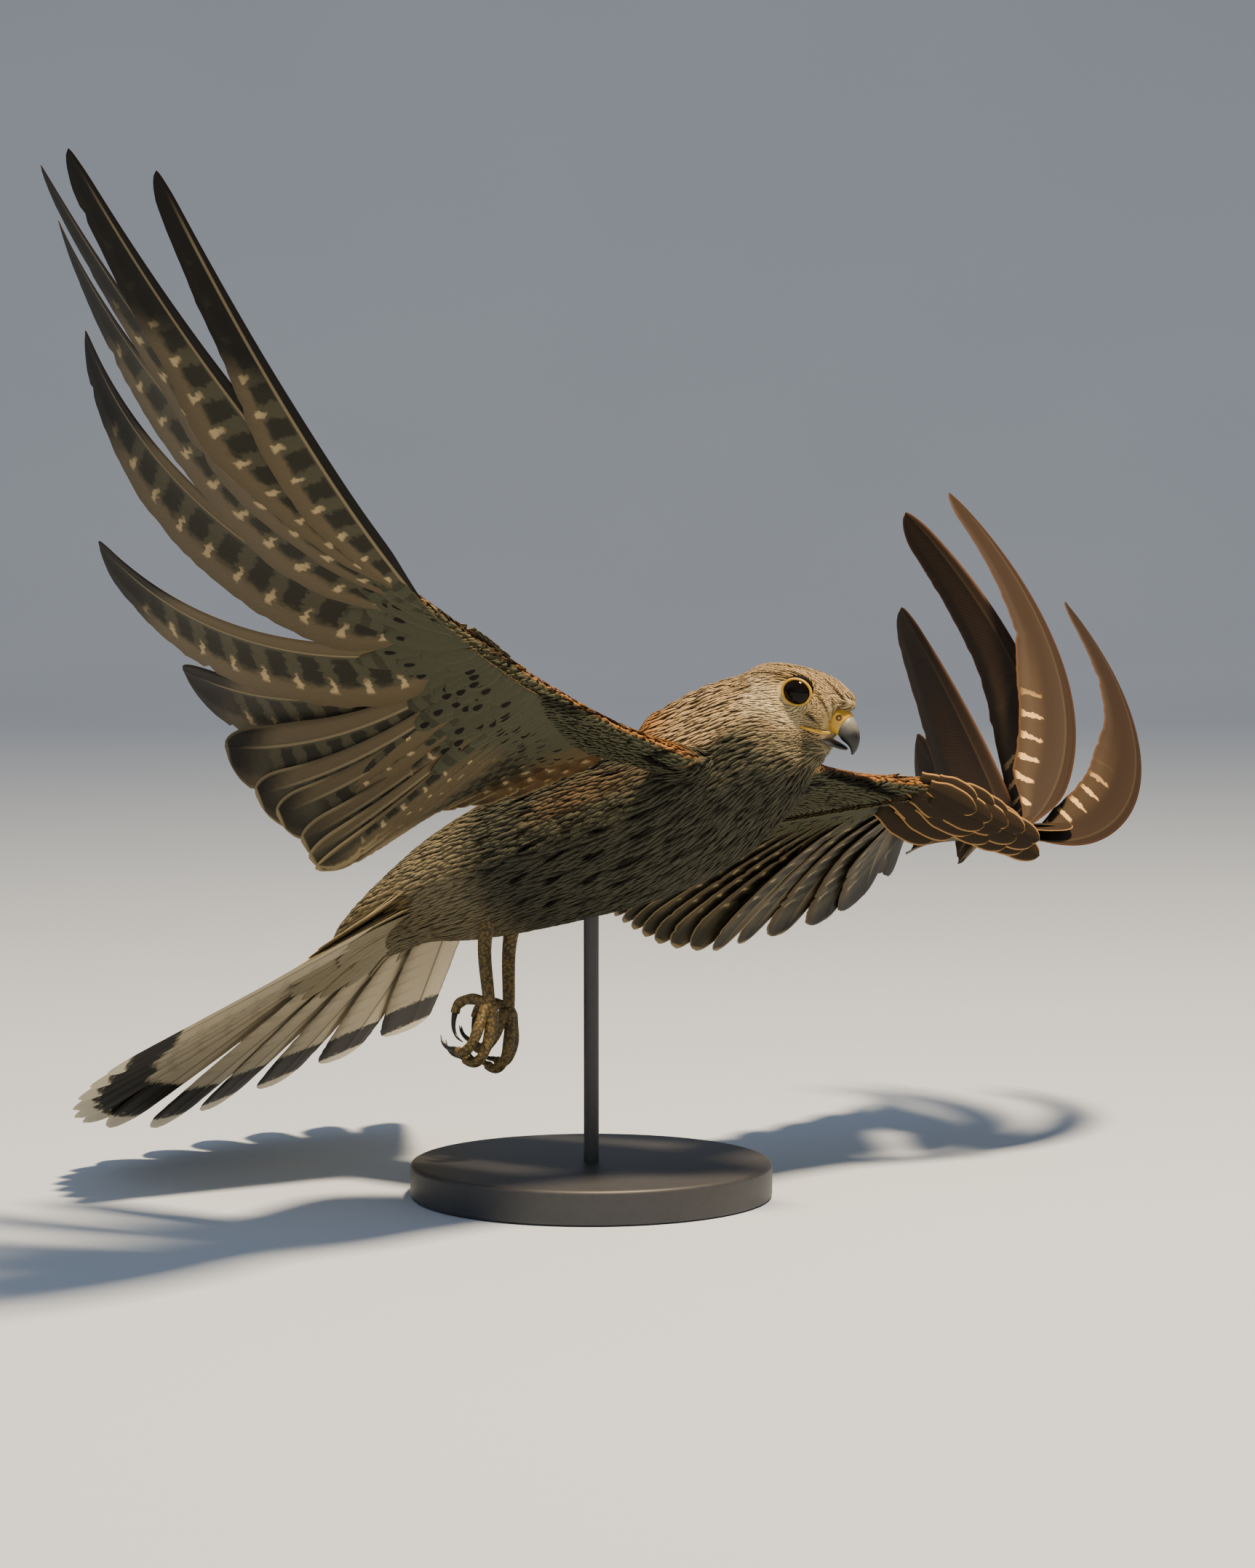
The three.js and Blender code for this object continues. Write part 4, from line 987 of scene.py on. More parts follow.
def wing_place(wing, points):
    """Wing points' heading along the feathers, upward side, feather number, and lie in mm."""
    flip = np.array([1, wing.side, 1])
    numbers = np.linspace(0, LAST_FEATHER, 60)
    stations = wing.point(numbers, np.full(60, 0.02))
    ahead, _, up, _ = wing.frame(numbers, np.full(60, 0.12))
    rows = []
    for part in np.array_split(points * flip, max(len(points) // BATCH, 1)):
        weight = near_stations(part, stations, WING_BLEND)
        heading, above, number = unit(weight @ ahead), unit(weight @ up), weight @ numbers
        chord = np.sum((part - weight @ stations) * heading, axis=1)
        span = sample(ROOTS, number)[:, 0]
        rows.append(np.column_stack([heading, above, number, span, chord]))
    rows = np.vstack(rows)
    return rows[:, :3] * flip, rows[:, 3:6] * flip, rows[:, 6], rows[:, 7:]


def scatter(u, v, key):
    """A number from 0 to 1 for each cell of a grid, without order but always the same."""
    return np.modf(np.abs(np.sin(u * 12.9898 + v * 78.233 + key * 37.719) * 43758.5453))[0]


def marks(flow, wide, long, half, full, blunt, key):
    """Dark teardrops, 0 to 1, in staggered columns: pointed ahead and blunt behind.

    The columns are wide apart and the marks in them long apart, each half wide to either side,
    full of its step long, and blunt over that share of its own length.
    """
    u = flow[:, 0] / wide + 100
    column = np.floor(u)
    v = flow[:, 1] / long + 100 + scatter(column, 0, key) + 0.3 * np.sin(flow[:, 0] / 9)
    row = np.floor(v)
    aside = (u - column - 0.5 - 0.42 * (scatter(column, row, key + 1) - 0.5)) * wide
    share = (row + 1 - v) / (full * (0.75 + 0.4 * scatter(column, row, key + 2)))
    size = half * (0.75 + 0.5 * scatter(column, row, key + 3))
    body = np.clip(share, 0, 1) ** 0.7 * np.sqrt(np.clip((1 - share) / blunt, 0, 1))
    body = np.where((share > 0) & (share < 1), body, 0)
    return smooth(1.15, 0.6, np.abs(aside) / np.maximum(size * body, 1e-3)) * (body > 0.02)


def wing_zones(points, normals, wings, on_wing, lie):
    """Turns the lie along the wings, and gives upper side, feather number and place in mm."""
    upper, number, flow = np.zeros(len(points)), np.zeros(len(points)), np.zeros((len(points), 2))
    for wing in wings.values():
        chosen = (on_wing > 0) & (np.sign(points[:, 1]) == wing.side)
        heading, above, found, place = wing_place(wing, points[chosen])
        # Ahead of the bones the coat runs outwards along the edge.
        ahead_of = (1 - smooth(-7, 3, place[:, 1]))[:, None]
        heading = unit(heading * (1 - 0.6 * ahead_of) + wing.outward * 1.1 * ahead_of)
        share = on_wing[chosen][:, None]
        lie[chosen] = lie[chosen] * (1 - share) + heading * share
        turned = np.sum(above * normals[chosen], axis=1) + 0.45 * (wing.side > 0)
        upper[chosen] = smooth(-0.45, 0.0, turned)
        number[chosen] = found
        flow[chosen] = place
    return upper, number, flow


def face_zones(head, on_head):
    """Pale cheek, chin, yellowish lore and the dark lines of the face at head-frame points."""
    x, y, z = head.T
    side = smooth(5, 8, np.abs(y))
    cheek = on_head * smooth(-13, -8, z) * (1 - smooth(-2, 2.5, z)) * smooth(-17, -11, x)
    cheek *= 1 - smooth(4, 8, x)
    chin = on_head * (1 - smooth(-16, -10.5, z)) * smooth(-14, 2, x)
    about = np.hypot(x - EYE["x"], z - EYE["z"])
    # The dark line from over the eye to behind it, and the smudge before and below it.
    arch = np.exp(-(((about - 6.6) / 0.6) ** 2)) * smooth(2.5, 4.5, z) * smooth(-7, -4, x)
    trail = np.exp(-(((z - 3.4 - 0.12 * x) / 1.2) ** 2)) * smooth(-15, -8, x) * smooth(-3, -6, x)
    smudge = np.exp(-(((x + 0.5 - 0.3 * z) / 3.2) ** 2)) * smooth(-13.5, -11.5, z) * smooth(-8, -10, z)
    dark = on_head * side * np.clip(0.15 * arch + 0.6 * trail + 0.4 * smudge, 0, 1)
    lore = smooth(5.2, 7, about) * (1 - smooth(7.5, 10.5, about)) * smooth(-2, 3, x)
    lore = on_head * side * np.maximum(lore, smooth(7.2, 5.8, about))
    by_cere = on_head * smooth(10, 12, x) * (1 - smooth(-3, -0.5, z)) * smooth(-11, -9, z)
    return cheek, chin, np.maximum(0.8 * lore, by_cere), dark


def plumage(points, normals, wings):
    """The lie of the coat, its colour zones and its dark marks at bird-frame points."""
    lie, arc, along, radius = body_place(points)
    x, y, _ = points.T
    head = (points - HEAD_AT) @ HEAD_TURN
    on_head = 1 - smooth(17, 25, np.linalg.norm(head - [-3, 0, -3], axis=1))
    on_wing = smooth(23, 33, np.abs(y)) * smooth(-70, -50, x)
    upper, number, wing_flow = wing_zones(points, normals, wings, on_wing, lie)
    cheek, chin, lore, lines = face_zones(head, on_head)
    angle = np.degrees(np.abs(arc))
    dorsal = 1 - smooth(22, 42, angle - 40 * smooth(-24, -4, x))
    hind = 1 - smooth(-112, -84, x)
    vent = (1 - smooth(-104, -80, x)) * (1 - dorsal)
    mantle = dorsal * (1 - hind) * (1 - on_head) * (1 - smooth(-6, 8, x)) * (1 - on_wing)
    # The sandy neck side ends sharply where the breast's painted shade begins.
    sandy = np.clip(np.maximum(on_head, smooth(-14, 2, x) * (1 - smooth(82, 98, angle))), 0, 1)
    belly = (1 - dorsal) * (1 - vent) * (1 - on_head) * (1 - on_wing)
    nape = smooth(-8, 4, x) * (1 - smooth(0.6, 0.95, on_head))
    front = smooth(-30, 5, x)
    under_belly = smooth(150, 170, angle)
    flow = np.column_stack([arc * np.clip(radius, 5, 27), along])
    drawn = [
        marks(flow, 6.2, 19, 1.4, 0.66, 0.3, 1) * belly * (1 - front) * (1 - 0.4 * under_belly),
        marks(flow, 5.0, 18, 1.2, 0.74, 0.3, 2) * belly * front * (1 - nape),
        marks(flow, 3.9, 10, 0.85, 0.66, 0.35, 3) * nape * (1 - chin),
        marks(flow, 2.6, 8.5, 0.85, 0.72, 0.4, 4) * on_head * (1 - chin) * (1 - 0.8 * cheek) * 0.9,
        marks(flow, 9.5, 14, 1.3, 0.34, 0.5, 5) * mantle * (1 - nape),
        marks(wing_flow, 4.4, 6.5, 1.05, 0.5, 0.5, 6) * on_wing * upper,
        marks(wing_flow, 6.5, 8.5, 1.25, 0.4, 0.6, 7) * on_wing * (1 - upper),
        marks(flow, 8, 15, 0.5, 0.6, 0.3, 8) * vent * 0.6,
        lines,
    ]
    dark = 1 - np.prod([1 - np.clip(layer, 0, 1) for layer in drawn], axis=0)
    zones = {
        "zone_a": np.column_stack([mantle, sandy * (1 - on_wing), cheek]),
        "zone_b": np.column_stack([vent * (1 - on_wing), chin, lore]),
        "zone_c": np.column_stack([on_wing * upper, on_wing * (1 - upper), number / LAST_FEATHER]),
        "marks": np.column_stack([dark, dorsal * hind * (1 - on_wing), on_head]),
    }
    return lie, zones


# Coat.

# Share along a tuft, its half width there, and its height between skin and coat.
TUFT = np.array([[0, 0.6, -0.4], [0.22, 1, 0.35], [0.5, 0.95, 0.75], [0.78, 0.6, 0.92], [1, 0.08, 0.85]])
# A tuft's cross-section, left edge, top, right edge and underside: across, and the rise with and
# without its width.
TUFT_ACROSS = np.array([-1, 0, 1, 0])
TUFT_RISE = np.array([-0.06, 0.05, -0.06, -0.16])
TUFT_LEAST = np.array([0, 0.03, 0, -0.03])
TUFT_POINTS = len(TUFT) * len(TUFT_ACROSS)
TUFT_TRIANGLES = 2 * (TUFT_POINTS - 2)
MOST_TRIANGLES = 190000
# How fast a tuft may turn towards the skin, for each millimetre that it runs.
MOST_TURN = 0.4
# Random points for each square millimetre, from which the roots are picked.
ROOT_DENSITY = 2.6
# Half the side of a tuft's patch in the bake layout.
HALF_PATCH = 0.0015


def pick_roots(points, spacing):
    """Indices of points thinned so that none is closer to another than its spacing."""
    tree = kdtree.KDTree(len(points))
    for k, p in enumerate(points):
        tree.insert(p, k)
    tree.balance()
    gone = np.zeros(len(points), bool)
    kept = []
    for k in range(len(points)):
        if gone[k]:
            continue
        kept.append(k)
        for _, other, _ in tree.find_range(points[k], spacing[k]):
            gone[other] = True
    return np.array(kept)


def read_out(items, key, count, kind=float):
    """A mesh collection's values as rows of an array."""
    values = np.empty(len(items) * count, kind)
    items.foreach_get(key, values)
    return values.reshape(-1, count)


def read_surface(mesh):
    """A mesh's points and normals in the bird frame, and its triangles' corners."""
    mesh.calc_loop_triangles()
    points = (read_out(mesh.vertices, "co", 3) / MM - SHOULDERS_AT) @ BIRD_TURN
    normals = read_out(mesh.vertices, "normal", 3) @ BIRD_TURN
    return points, normals, read_out(mesh.loop_triangles, "vertices", 3, np.int32)


def surface_points(mesh):
    """Random points on the skin, thicker on the head, with normals and bake places."""
    places, normals, corners = read_surface(mesh)
    loops = read_out(mesh.loop_triangles, "loops", 3, np.int32)
    layout = read_out(mesh.uv_layers["OFBake"].uv, "vector", 2)
    a, b, c = (places[corners[:, k]] for k in range(3))
    area = np.linalg.norm(np.cross(b - a, c - a), axis=1) / 2
    area *= 1 + 2.5 * (1 - smooth(18, 26, np.linalg.norm(a - HEAD_AT, axis=1)))
    count = int(area.sum() * ROOT_DENSITY)
    picked = RNG.choice(len(area), count, p=area / area.sum())
    share = RNG.dirichlet([1, 1, 1], count)
    at, facing, bake = (
        np.einsum("nk,nkd->nd", share, values)
        for values in (places[corners[picked]], normals[corners[picked]], layout[loops[picked]])
    )
    return at, unit(facing), bake


def over_skin(tree, roots):
    """Steps each tuft over the skin: its stations, headings and the skin's normals there."""
    at, ahead, up = roots["at"], roots["lie"], roots["up"]
    rows = [(at, ahead, up)]
    for step in np.diff(TUFT[:, 0]):
        reach = roots["length"] * step
        target = at + ahead * reach[:, None]
        found = [tree.find_nearest(point)[:2] for point in target]
        near, facing = (np.array(part) for part in zip(*found))
        pull = near - target
        far = np.linalg.norm(pull, axis=1)
        limit = np.minimum(1, MOST_TURN * reach / np.maximum(far, 1e-6))[:, None]
        moved = target + pull * limit
        up = unit(up + (facing - up) * limit)
        ahead = unit(square_to(moved - at, up))
        at = moved
        rows.append((at, ahead, up))
    return (np.stack(part, axis=1) for part in zip(*rows))


def tuft_mesh(tree, roots):
    """Leaf-shaped closed tufts: points, faces, vane values, and the skin's points below."""
    centre, ahead, up = over_skin(tree, roots)
    across = np.cross(up, ahead)
    share, wide, high = TUFT.T
    half = wide[None] * roots["width"][:, None]
    lifted = up * (high[None] * roots["depth"][:, None])[..., None]
    lateral = half[..., None] * TUFT_ACROSS
    heights = half[..., None] * TUFT_RISE + TUFT_LEAST
    ground = centre[:, :, None] + across[:, :, None] * lateral[..., None]
    points = ground + lifted[:, :, None] + up[:, :, None] * heights[..., None]
    index = np.arange(TUFT_POINTS).reshape(len(TUFT), -1)
    after = np.roll(index, -1, axis=1)
    faces = np.stack([index[:-1], index[1:], after[1:], after[:-1]], -1).reshape(-1, 4)
    faces = np.vstack([faces, index[0], index[-1, ::-1]])
    quads = faces[None] + (np.arange(len(centre)) * TUFT_POINTS)[:, None, None]
    length = roots["length"][:, None, None]
    far = share[None, :, None] * length + 0 * lateral
    vane = np.stack([length - far, lateral, far / length], -1)
    return points.reshape(-1, 3), quads.reshape(-1, 4), vane.reshape(-1, 3), ground.reshape(-1, 3)


def around_eye(head, lie):
    """Turns the coat's lie in the head frame so that it parts round the eyes."""
    away = head - np.array([EYE["x"], 0, EYE["z"]])
    away[:, 1] = 0
    gap = np.linalg.norm(away, axis=1, keepdims=True)
    away = away / np.maximum(gap, 1e-6)
    inward = np.minimum(np.sum(lie * away, axis=1, keepdims=True), 0)
    beside = smooth(4, 8, np.abs(head[:, 1:2]))
    return unit(lie - away * inward * (1 - smooth(6.5, 11, gap)) * beside * 1.15)


def clear_of_face(head, on_head):
    """Whether head-frame points are clear of the eyes, the cere and the gape."""
    x, y, z = head.T
    opening = np.hypot(x - EYE["x"], (z - EYE["z"]) / EYE["flat"]) < EYE["ring"] + 0.3
    at_eye = opening & (on_head > 0.5) & (np.abs(y) > 5)
    at_cere = (x > 12.2) & (z < 1.2) & (z > -13)
    beside = np.column_stack([x, np.abs(y), z])
    gap = np.linalg.norm(beside[:, None] - curve(GAPE, 24)[None], axis=2).min(axis=1)
    return ~at_eye & ~at_cere & (gap > 0.9)


def coat_roots(skin, wings):
    """Values at the tufts' roots, one row each, thinned to the coat's spacing."""
    at, up, bake = surface_points(skin.data)
    lie, zones = plumage(at, up, wings)
    on_head = zones["marks"][:, 2]
    on_wing = zones["zone_c"][:, 0] + zones["zone_c"][:, 1]
    head = (at - HEAD_AT) @ HEAD_TURN
    face = on_head * smooth(0, 10, head[:, 0])
    parted = around_eye(head, lie @ HEAD_TURN) @ HEAD_TURN.T
    lie = lie * (1 - on_head)[:, None] + parted * on_head[:, None]
    spacing = 1.55 - 0.3 * smooth(-20, 20, at[:, 0])
    spacing = (spacing * (1 - on_head) + 0.74 * on_head) * (1 - on_wing) + 1.35 * on_wing
    spacing = spacing * (1 - 0.25 * face)
    clear = clear_of_face(head, on_head)
    kept = np.flatnonzero(clear)[pick_roots(at[clear], spacing[clear])]
    values = {"at": at, "up": up, "bake": bake, "lie": lie, "spacing": spacing, "on_head": on_head,
              "on_wing": on_wing, "face": face, **zones}
    return {key: rows[kept] for key, rows in values.items()}


def coat_piece(name, tree, roots, wings):
    """One mesh of tufts, each coloured by its root, with the dark marks as on the skin below."""
    points, quads, vane, ground = tuft_mesh(tree, roots)
    each = {key: rows.repeat(TUFT_POINTS, axis=0) for key, rows in roots.items()}
    _, drawn = plumage(ground, each["up"], wings)
    attributes = {key: each[key] for key in ("zone_a", "zone_b", "zone_c", "grain")}
    attributes |= {"marks": drawn["marks"], "vane": vane}
    patch = np.column_stack([vane[:, 1] / each["width"], vane[:, 2] * 2 - 1])
    layout = np.clip(each["bake"] + patch * HALF_PATCH, 0, 1)
    return make_piece(name, to_row(points), quads, attributes, layout)


def build_coat(skin, wings):
    """Tufts all over the skin, long on the body, short on the wings and shortest on the face."""
    roots = coat_roots(skin, wings)
    count = len(roots["at"])
    on_head, on_wing = roots["on_head"], roots["on_wing"]
    jitter = RNG.normal(scale=0.035, size=(count, 3))
    roots["lie"] = unit(square_to(roots["lie"] + jitter, roots["up"]))
    length = (9.4 - 1.6 * smooth(-20, 20, roots["at"][:, 0])) * (1 - on_head)
    length += (4.4 - 2.6 * roots["face"]) * on_head
    roots["length"] = (length * (1 - on_wing) + 4.6 * on_wing) * RNG.uniform(0.8, 1.15, count)
    roots["width"] = roots["spacing"] * RNG.uniform(0.4, 0.54, count) * (1 - 0.1 * on_head)
    depth = COAT_DEPTH * (1 - 0.45 * on_head) * (1 - 0.3 * on_wing)
    roots["depth"] = depth * RNG.uniform(0.86, 1.0, count)
    roots["grain"] = RNG.random(count)
    points, _, corners = read_surface(skin.data)
    tree = BVHTree.FromPolygons(points.tolist(), corners.tolist())
    groups = np.where(on_wing > 0.5, 2, np.where(on_head > 0.4, 1, 0))
    pieces = []
    for group, name in enumerate(("coat_body", "coat_head", "coat_wings")):
        chosen = np.flatnonzero(groups == group)
        share = math.ceil(len(chosen) * TUFT_TRIANGLES / MOST_TRIANGLES)
        for part, some in enumerate(np.array_split(chosen, share)):
            picked = {key: rows[some] for key, rows in roots.items()}
            pieces.append(coat_piece(f"{name}_{part}", tree, picked, wings))
    return pieces


def mark_skin(skin, wings):
    """Gives the skin the coat's zones and marks, with the middle of a feather for the rest."""
    points, normals, _ = read_surface(skin.data)
    _, zones = plumage(points, normals, wings)
    zones["grain"] = np.full(len(points), 0.5)
    zones["vane"] = np.tile([5.0, 0, 0.3], (len(points), 1))
    set_attributes(skin.data, zones)


# Materials.

# Node kinds with a mode, and the property that holds it.
MODES = {"Math": "operation", "VectorMath": "operation", "MapRange": "interpolation_type",
         "Mix": "data_type", "Attribute": "attribute_name"}
# Where a mix of colours takes its share and its two colours, and where it gives the result.
MIX_INPUTS, MIX_OUTPUT = (0, 6, 7), 2
RAMP, SOFT = "MapRange.LINEAR", "MapRange.SMOOTHSTEP"
PLUS, LESS, TIMES, WAVE = "Math.ADD", "Math.SUBTRACT", "Math.MULTIPLY", "Math.SINE"
# The nostrils and the tip of the bill, in the head's frame.
NOSTRILS = [[15.4, -4.2, -2.8], [15.4, 4.2, -2.8]]
BILL_TIP = [22.6, 0, -13]


def srgb(code):
    """A linear colour from sRGB hex."""
    channels = [int(code[k:k + 2], 16) / 255 for k in (1, 3, 5)]
    return [c / 12.92 if c <= 0.04045 else ((c + 0.055) / 1.055) ** 2.4 for c in channels] + [1]


def add_node(tree, kind, *values, out=0, **named):
    """Adds a node such as "Math.ADD", fills its inputs in order or by name, and gives an output."""
    kind, _, mode = kind.partition(".")
    node = tree.nodes.new(f"ShaderNode{kind}")
    if mode:
        setattr(node, MODES[kind], mode)
    places = MIX_INPUTS if kind == "Mix" else range(len(values))
    filled = dict(zip(places, values)) | {key.replace("_", " "): value for key, value in named.items()}
    for socket, value in filled.items():
        if isinstance(value, bpy.types.NodeSocket):
            tree.links.new(value, node.inputs[socket])
        else:
            node.inputs[socket].default_value = value
    if kind == "Mix":
        out = MIX_OUTPUT
    return node.outputs if out is None else node.outputs[out]


def new_material(name, **values):
    """A material, its shader with plain values on its own sockets, and what adds nodes to it."""
    material = bpy.data.materials.new(name)
    material.use_nodes = True
    tree = material.node_tree
    shader = tree.nodes["Principled BSDF"]
    for key, value in values.items():
        shader.inputs[key.replace("_", " ")].default_value = value
    return material, shader, partial(add_node, tree)


def finish(shader, colour, relief=None):
    """Links a colour, and a bump if there is one, to the shader."""
    links = shader.id_data.links
    links.new(colour, shader.inputs["Base Color"])
    if relief is not None:
        links.new(relief, shader.inputs["Normal"])


def product(add, share, *others):
    """Shares multiplied."""
    for other in others:
        share = add(TIMES, share, other)
    return share


def paint(add, ground, *layers):
    """Lays colours over a ground, each by the product of its shares; hex or a socket gives one."""
    colour = srgb(ground) if isinstance(ground, str) else ground
    for over, *shares in layers:
        over = srgb(over) if isinstance(over, str) else over
        colour = add("Mix.RGBA", product(add, *shares), colour, over)
    return colour


def carried(add, name):
    """The three values that each point of a piece carries under a name."""
    return add("SeparateXYZ", add(f"Attribute.{name}", out="Vector"), out=None)


class Vane:
    """What a feather's points carry: mm to its tip and across it, number, random tone, side."""

    def __init__(self, add):
        self.place = add("Attribute.vane", out="Vector")
        self.to_tip, self.lateral, self.edge = add("SeparateXYZ", self.place, out=None)
        _, self.number, self.grain = carried(add, "kind")
        self.under = add("Attribute.under", out="Fac")
        self.aside = add("Math.ABSOLUTE", self.lateral)
        # From -1 at the outer edge through 0 at the shaft to 1 at the inner edge.
        self.share = add("Math.DIVIDE", self.lateral, add(PLUS, self.aside, self.edge))


def finish_vane(add, shader, vane, colour, height):
    """Fine slanted barbs and a slight difference between one feather and the next.

    The barbs are drawn 0.8 mm apart, several times the real spacing, so that they show.
    """
    slant = add(PLUS, vane.aside, vane.to_tip)
    barbs = add(WAVE, add(TIMES, slant, 8.0))
    streaky = add("CombineXYZ", add(TIMES, slant, 2.2), add(TIMES, vane.aside, 0.25), vane.grain)
    mottle = add("TexNoise", streaky, Scale=1.0, Detail=3.0)
    value = add(PLUS, add(TIMES, mottle, 0.34), add(TIMES, vane.grain, 0.14))
    colour = add("HueSaturation", Color=colour, Value=add(PLUS, value, 0.76))
    finish(shader, colour, add("Bump", Height=barbs, Strength=0.3, Distance=height))


def flight_below(add, vane, wobble, shifted, wave):
    """Webs painted dark olive-brown as shade, with dark bars, a cream wedge between each two, and black
    ends.
    """
    share, number = vane.share, vane.number
    near = add(SOFT, add(PLUS, share, add(TIMES, wobble, 0.2)), 0.8, 0.62)
    near = add("Math.MAXIMUM", near, add(SOFT, number, 0.58, 0.72))
    far_in = add(SOFT, vane.to_tip, 14.0, 26.0)
    bars = product(add, add(SOFT, wave, -0.55, 0.2), add(SOFT, share, 0.02, 0.1), near, far_in)
    strip = add(TIMES, near, add(SOFT, share, -0.2, 0.05))
    # The wedges are widest at the edge of the barred strip.
    wedge = add(SOFT, add(LESS, wave, add(TIMES, share, 0.75)), -1.2, -1.46)
    wedge = product(add, wedge, add(SOFT, share, 0.78, 0.7), add(SOFT, share, 0.4, 0.5), far_in)
    # The black is longest on the outermost feathers.
    reach = add(RAMP, number, 0.0, 0.33, 74.0, 12.0)
    leaning = add(PLUS, add(LESS, shifted, reach), add(TIMES, share, 9.0))
    return paint(
        add,
        # The ground is painted shade: the pale underside of the web in shadow, painted dark olive-brown.
        "#544935",
        # Painted shade: a darker strip over the inner web beside the shaft.
        ("#3b392b", strip, 0.85),
        ("#15150e", bars, 0.8),
        ("#b09a72", wedge, 0.66),
        # Painted light: an orange glow on the innermost feathers, sun shining through their webs.
        ("#704f2a", add(SOFT, number, 0.84, 1.0), 0.4),
        ("#0d0b08", add(SOFT, leaning, 8.0, -10.0), add(SOFT, number, 0.46, 0.36), 0.97),
        ("#0d0b08", add(SOFT, share, 0.0, -0.2), add(SOFT, number, 0.12, 0.04)),
    )


def flight_above(add, vane, wave):
    """Dark brown with buff notches on the hand, and orange with dark bars near the body."""
    share, number, to_tip = vane.share, vane.number, vane.to_tip
    notch = add(SOFT, add(LESS, wave, add(TIMES, share, 0.8)), -1.25, -1.4)
    notch = product(add, notch, add(SOFT, share, 0.45, 0.55), add(SOFT, share, 0.98, 0.85),
                    add(SOFT, to_tip, 96.0, 124.0))
    rufous = add(SOFT, number, 0.42, 0.56)
    return paint(
        add,
        "#2c2118",
        ("#3a2e20", add(SOFT, share, 0.38, 0.62), add(SOFT, to_tip, 60.0, 110.0)),
        ("#d3ac73", notch, 0.9),
        ("#85582c", rufous),
        ("#17110d", add(SOFT, wave, -0.1, 0.2), rufous, 0.85),
        ("#5a3a24", add(SOFT, vane.edge, 1.1, 0.3), 0.6),
    )


def flight_material():
    """Flight feathers of matte, stiff vane: they give the wing its barred, dark-tipped fan."""
    material, shader, add = new_material("flight_feather_vane", Roughness=0.65, Specular_IOR_Level=0.15)
    vane = Vane(add)
    share, number, to_tip = vane.share, vane.number, vane.to_tip
    wobble = add("TexNoise", vane.place, Scale=0.3, Detail=3.0)
    shifted = add(PLUS, to_tip, add(TIMES, wobble, 5.0))
    # The bars stand 13 mm apart on the long feathers and 9 mm on the short ones.
    rate = add(RAMP, number, 0.1, 0.5, 0.48, 0.7)
    wave = add(WAVE, add(PLUS, add(TIMES, shifted, rate), add(TIMES, vane.grain, 3.0)))
    # All but the long pointed feathers have a dark round end with a pale rim.
    round_end = add(SOFT, number, 0.24, 0.36)
    within = product(add, add(SOFT, to_tip, 15.0, 7.0), round_end, add(SOFT, share, 0.0, 0.5))
    rim = add("Math.MINIMUM", to_tip, add(PLUS, vane.edge, 0.8))
    rim = add(TIMES, add(SOFT, rim, 2.3, 1.1), add(SOFT, to_tip, 34.0, 16.0))
    shaft = add(TIMES, add(SOFT, vane.aside, 0.6, 0.3), add(SOFT, to_tip, 4.0, 26.0))
    above = flight_above(add, vane, wave)
    colour = paint(
        add,
        above,
        (flight_below(add, vane, wobble, shifted, wave), vane.under),
        ("#25231b", within, 0.6),
        ("#978560", rim, round_end, 0.75),
        ("#7c6e52", shaft, add(RAMP, vane.under, 0.0, 1.0, 0.1, 0.7)),
    )
    finish_vane(add, shader, vane, colour, 0.06 * MM)
    return material


def covert_spot(add, vane):
    """A black spot near the end of each covert, pointed towards its root."""
    shifted = add(TIMES, add("Math.FRACT", add(TIMES, vane.grain, 9.0)), 3.6)
    gap = add("Math.ABSOLUTE", add(LESS, vane.to_tip, add(PLUS, shifted, 2.4)))
    slim = add(RAMP, add(LESS, vane.to_tip, shifted), 0.5, 4.5, 0.7, 1.3)
    spot = add(PLUS, add("Math.POWER", add(TIMES, gap, 0.5), 2.0),
               add("Math.POWER", add(TIMES, vane.lateral, slim), 2.0))
    return add(TIMES, add(SOFT, spot, 1.25, 0.7), add(SOFT, vane.to_tip, 0.6, 1.4))


def covert_material():
    """Coverts of soft vane: rows of black spots over the wing, orange above, and below a grey-olive
    painted dark as shade.
    """
    material, shader, add = new_material("covert_feather_vane", Roughness=0.75, Specular_IOR_Level=0.12)
    vane = Vane(add)
    place = add("Math.FRACT", vane.number)
    greatest = add(SOFT, add("Math.FLOOR", vane.number), 0.6, 0.4)
    arm = add(SOFT, place, 0.34, 0.44)
    spot = covert_spot(add, vane)
    wave = add(WAVE, add(PLUS, add(TIMES, vane.to_tip, 0.85), add(TIMES, vane.grain, 4.0)))
    above = paint(
        add,
        "#2e2419",
        ("#8c6237", arm),
        ("#b08752", add(SOFT, vane.edge, 0.7, 0.25), 0.75),
        ("#0f0b08", spot, arm, 0.95),
    )
    below = paint(
        add,
        # The ground and its random tone are painted shade: the pale underside in shadow, painted dark
        # grey-olive.
        "#434334",
        ("#3c3c2e", vane.grain),
        ("#242319", add(SOFT, wave, 0.0, 0.35), greatest, 0.5),
        # Painted light: the same orange glow of sun through the innermost coverts.
        ("#704f2a", add(SOFT, place, 0.86, 1.0), 0.4),
        ("#58563f", add(SOFT, vane.edge, 0.8, 0.2), 0.4),
        ("#0d0b08", spot, add(SOFT, vane.grain, 0.42, 0.48), 0.95),
    )
    finish_vane(add, shader, vane, paint(add, above, (below, vane.under)), 0.05 * MM)
    return material


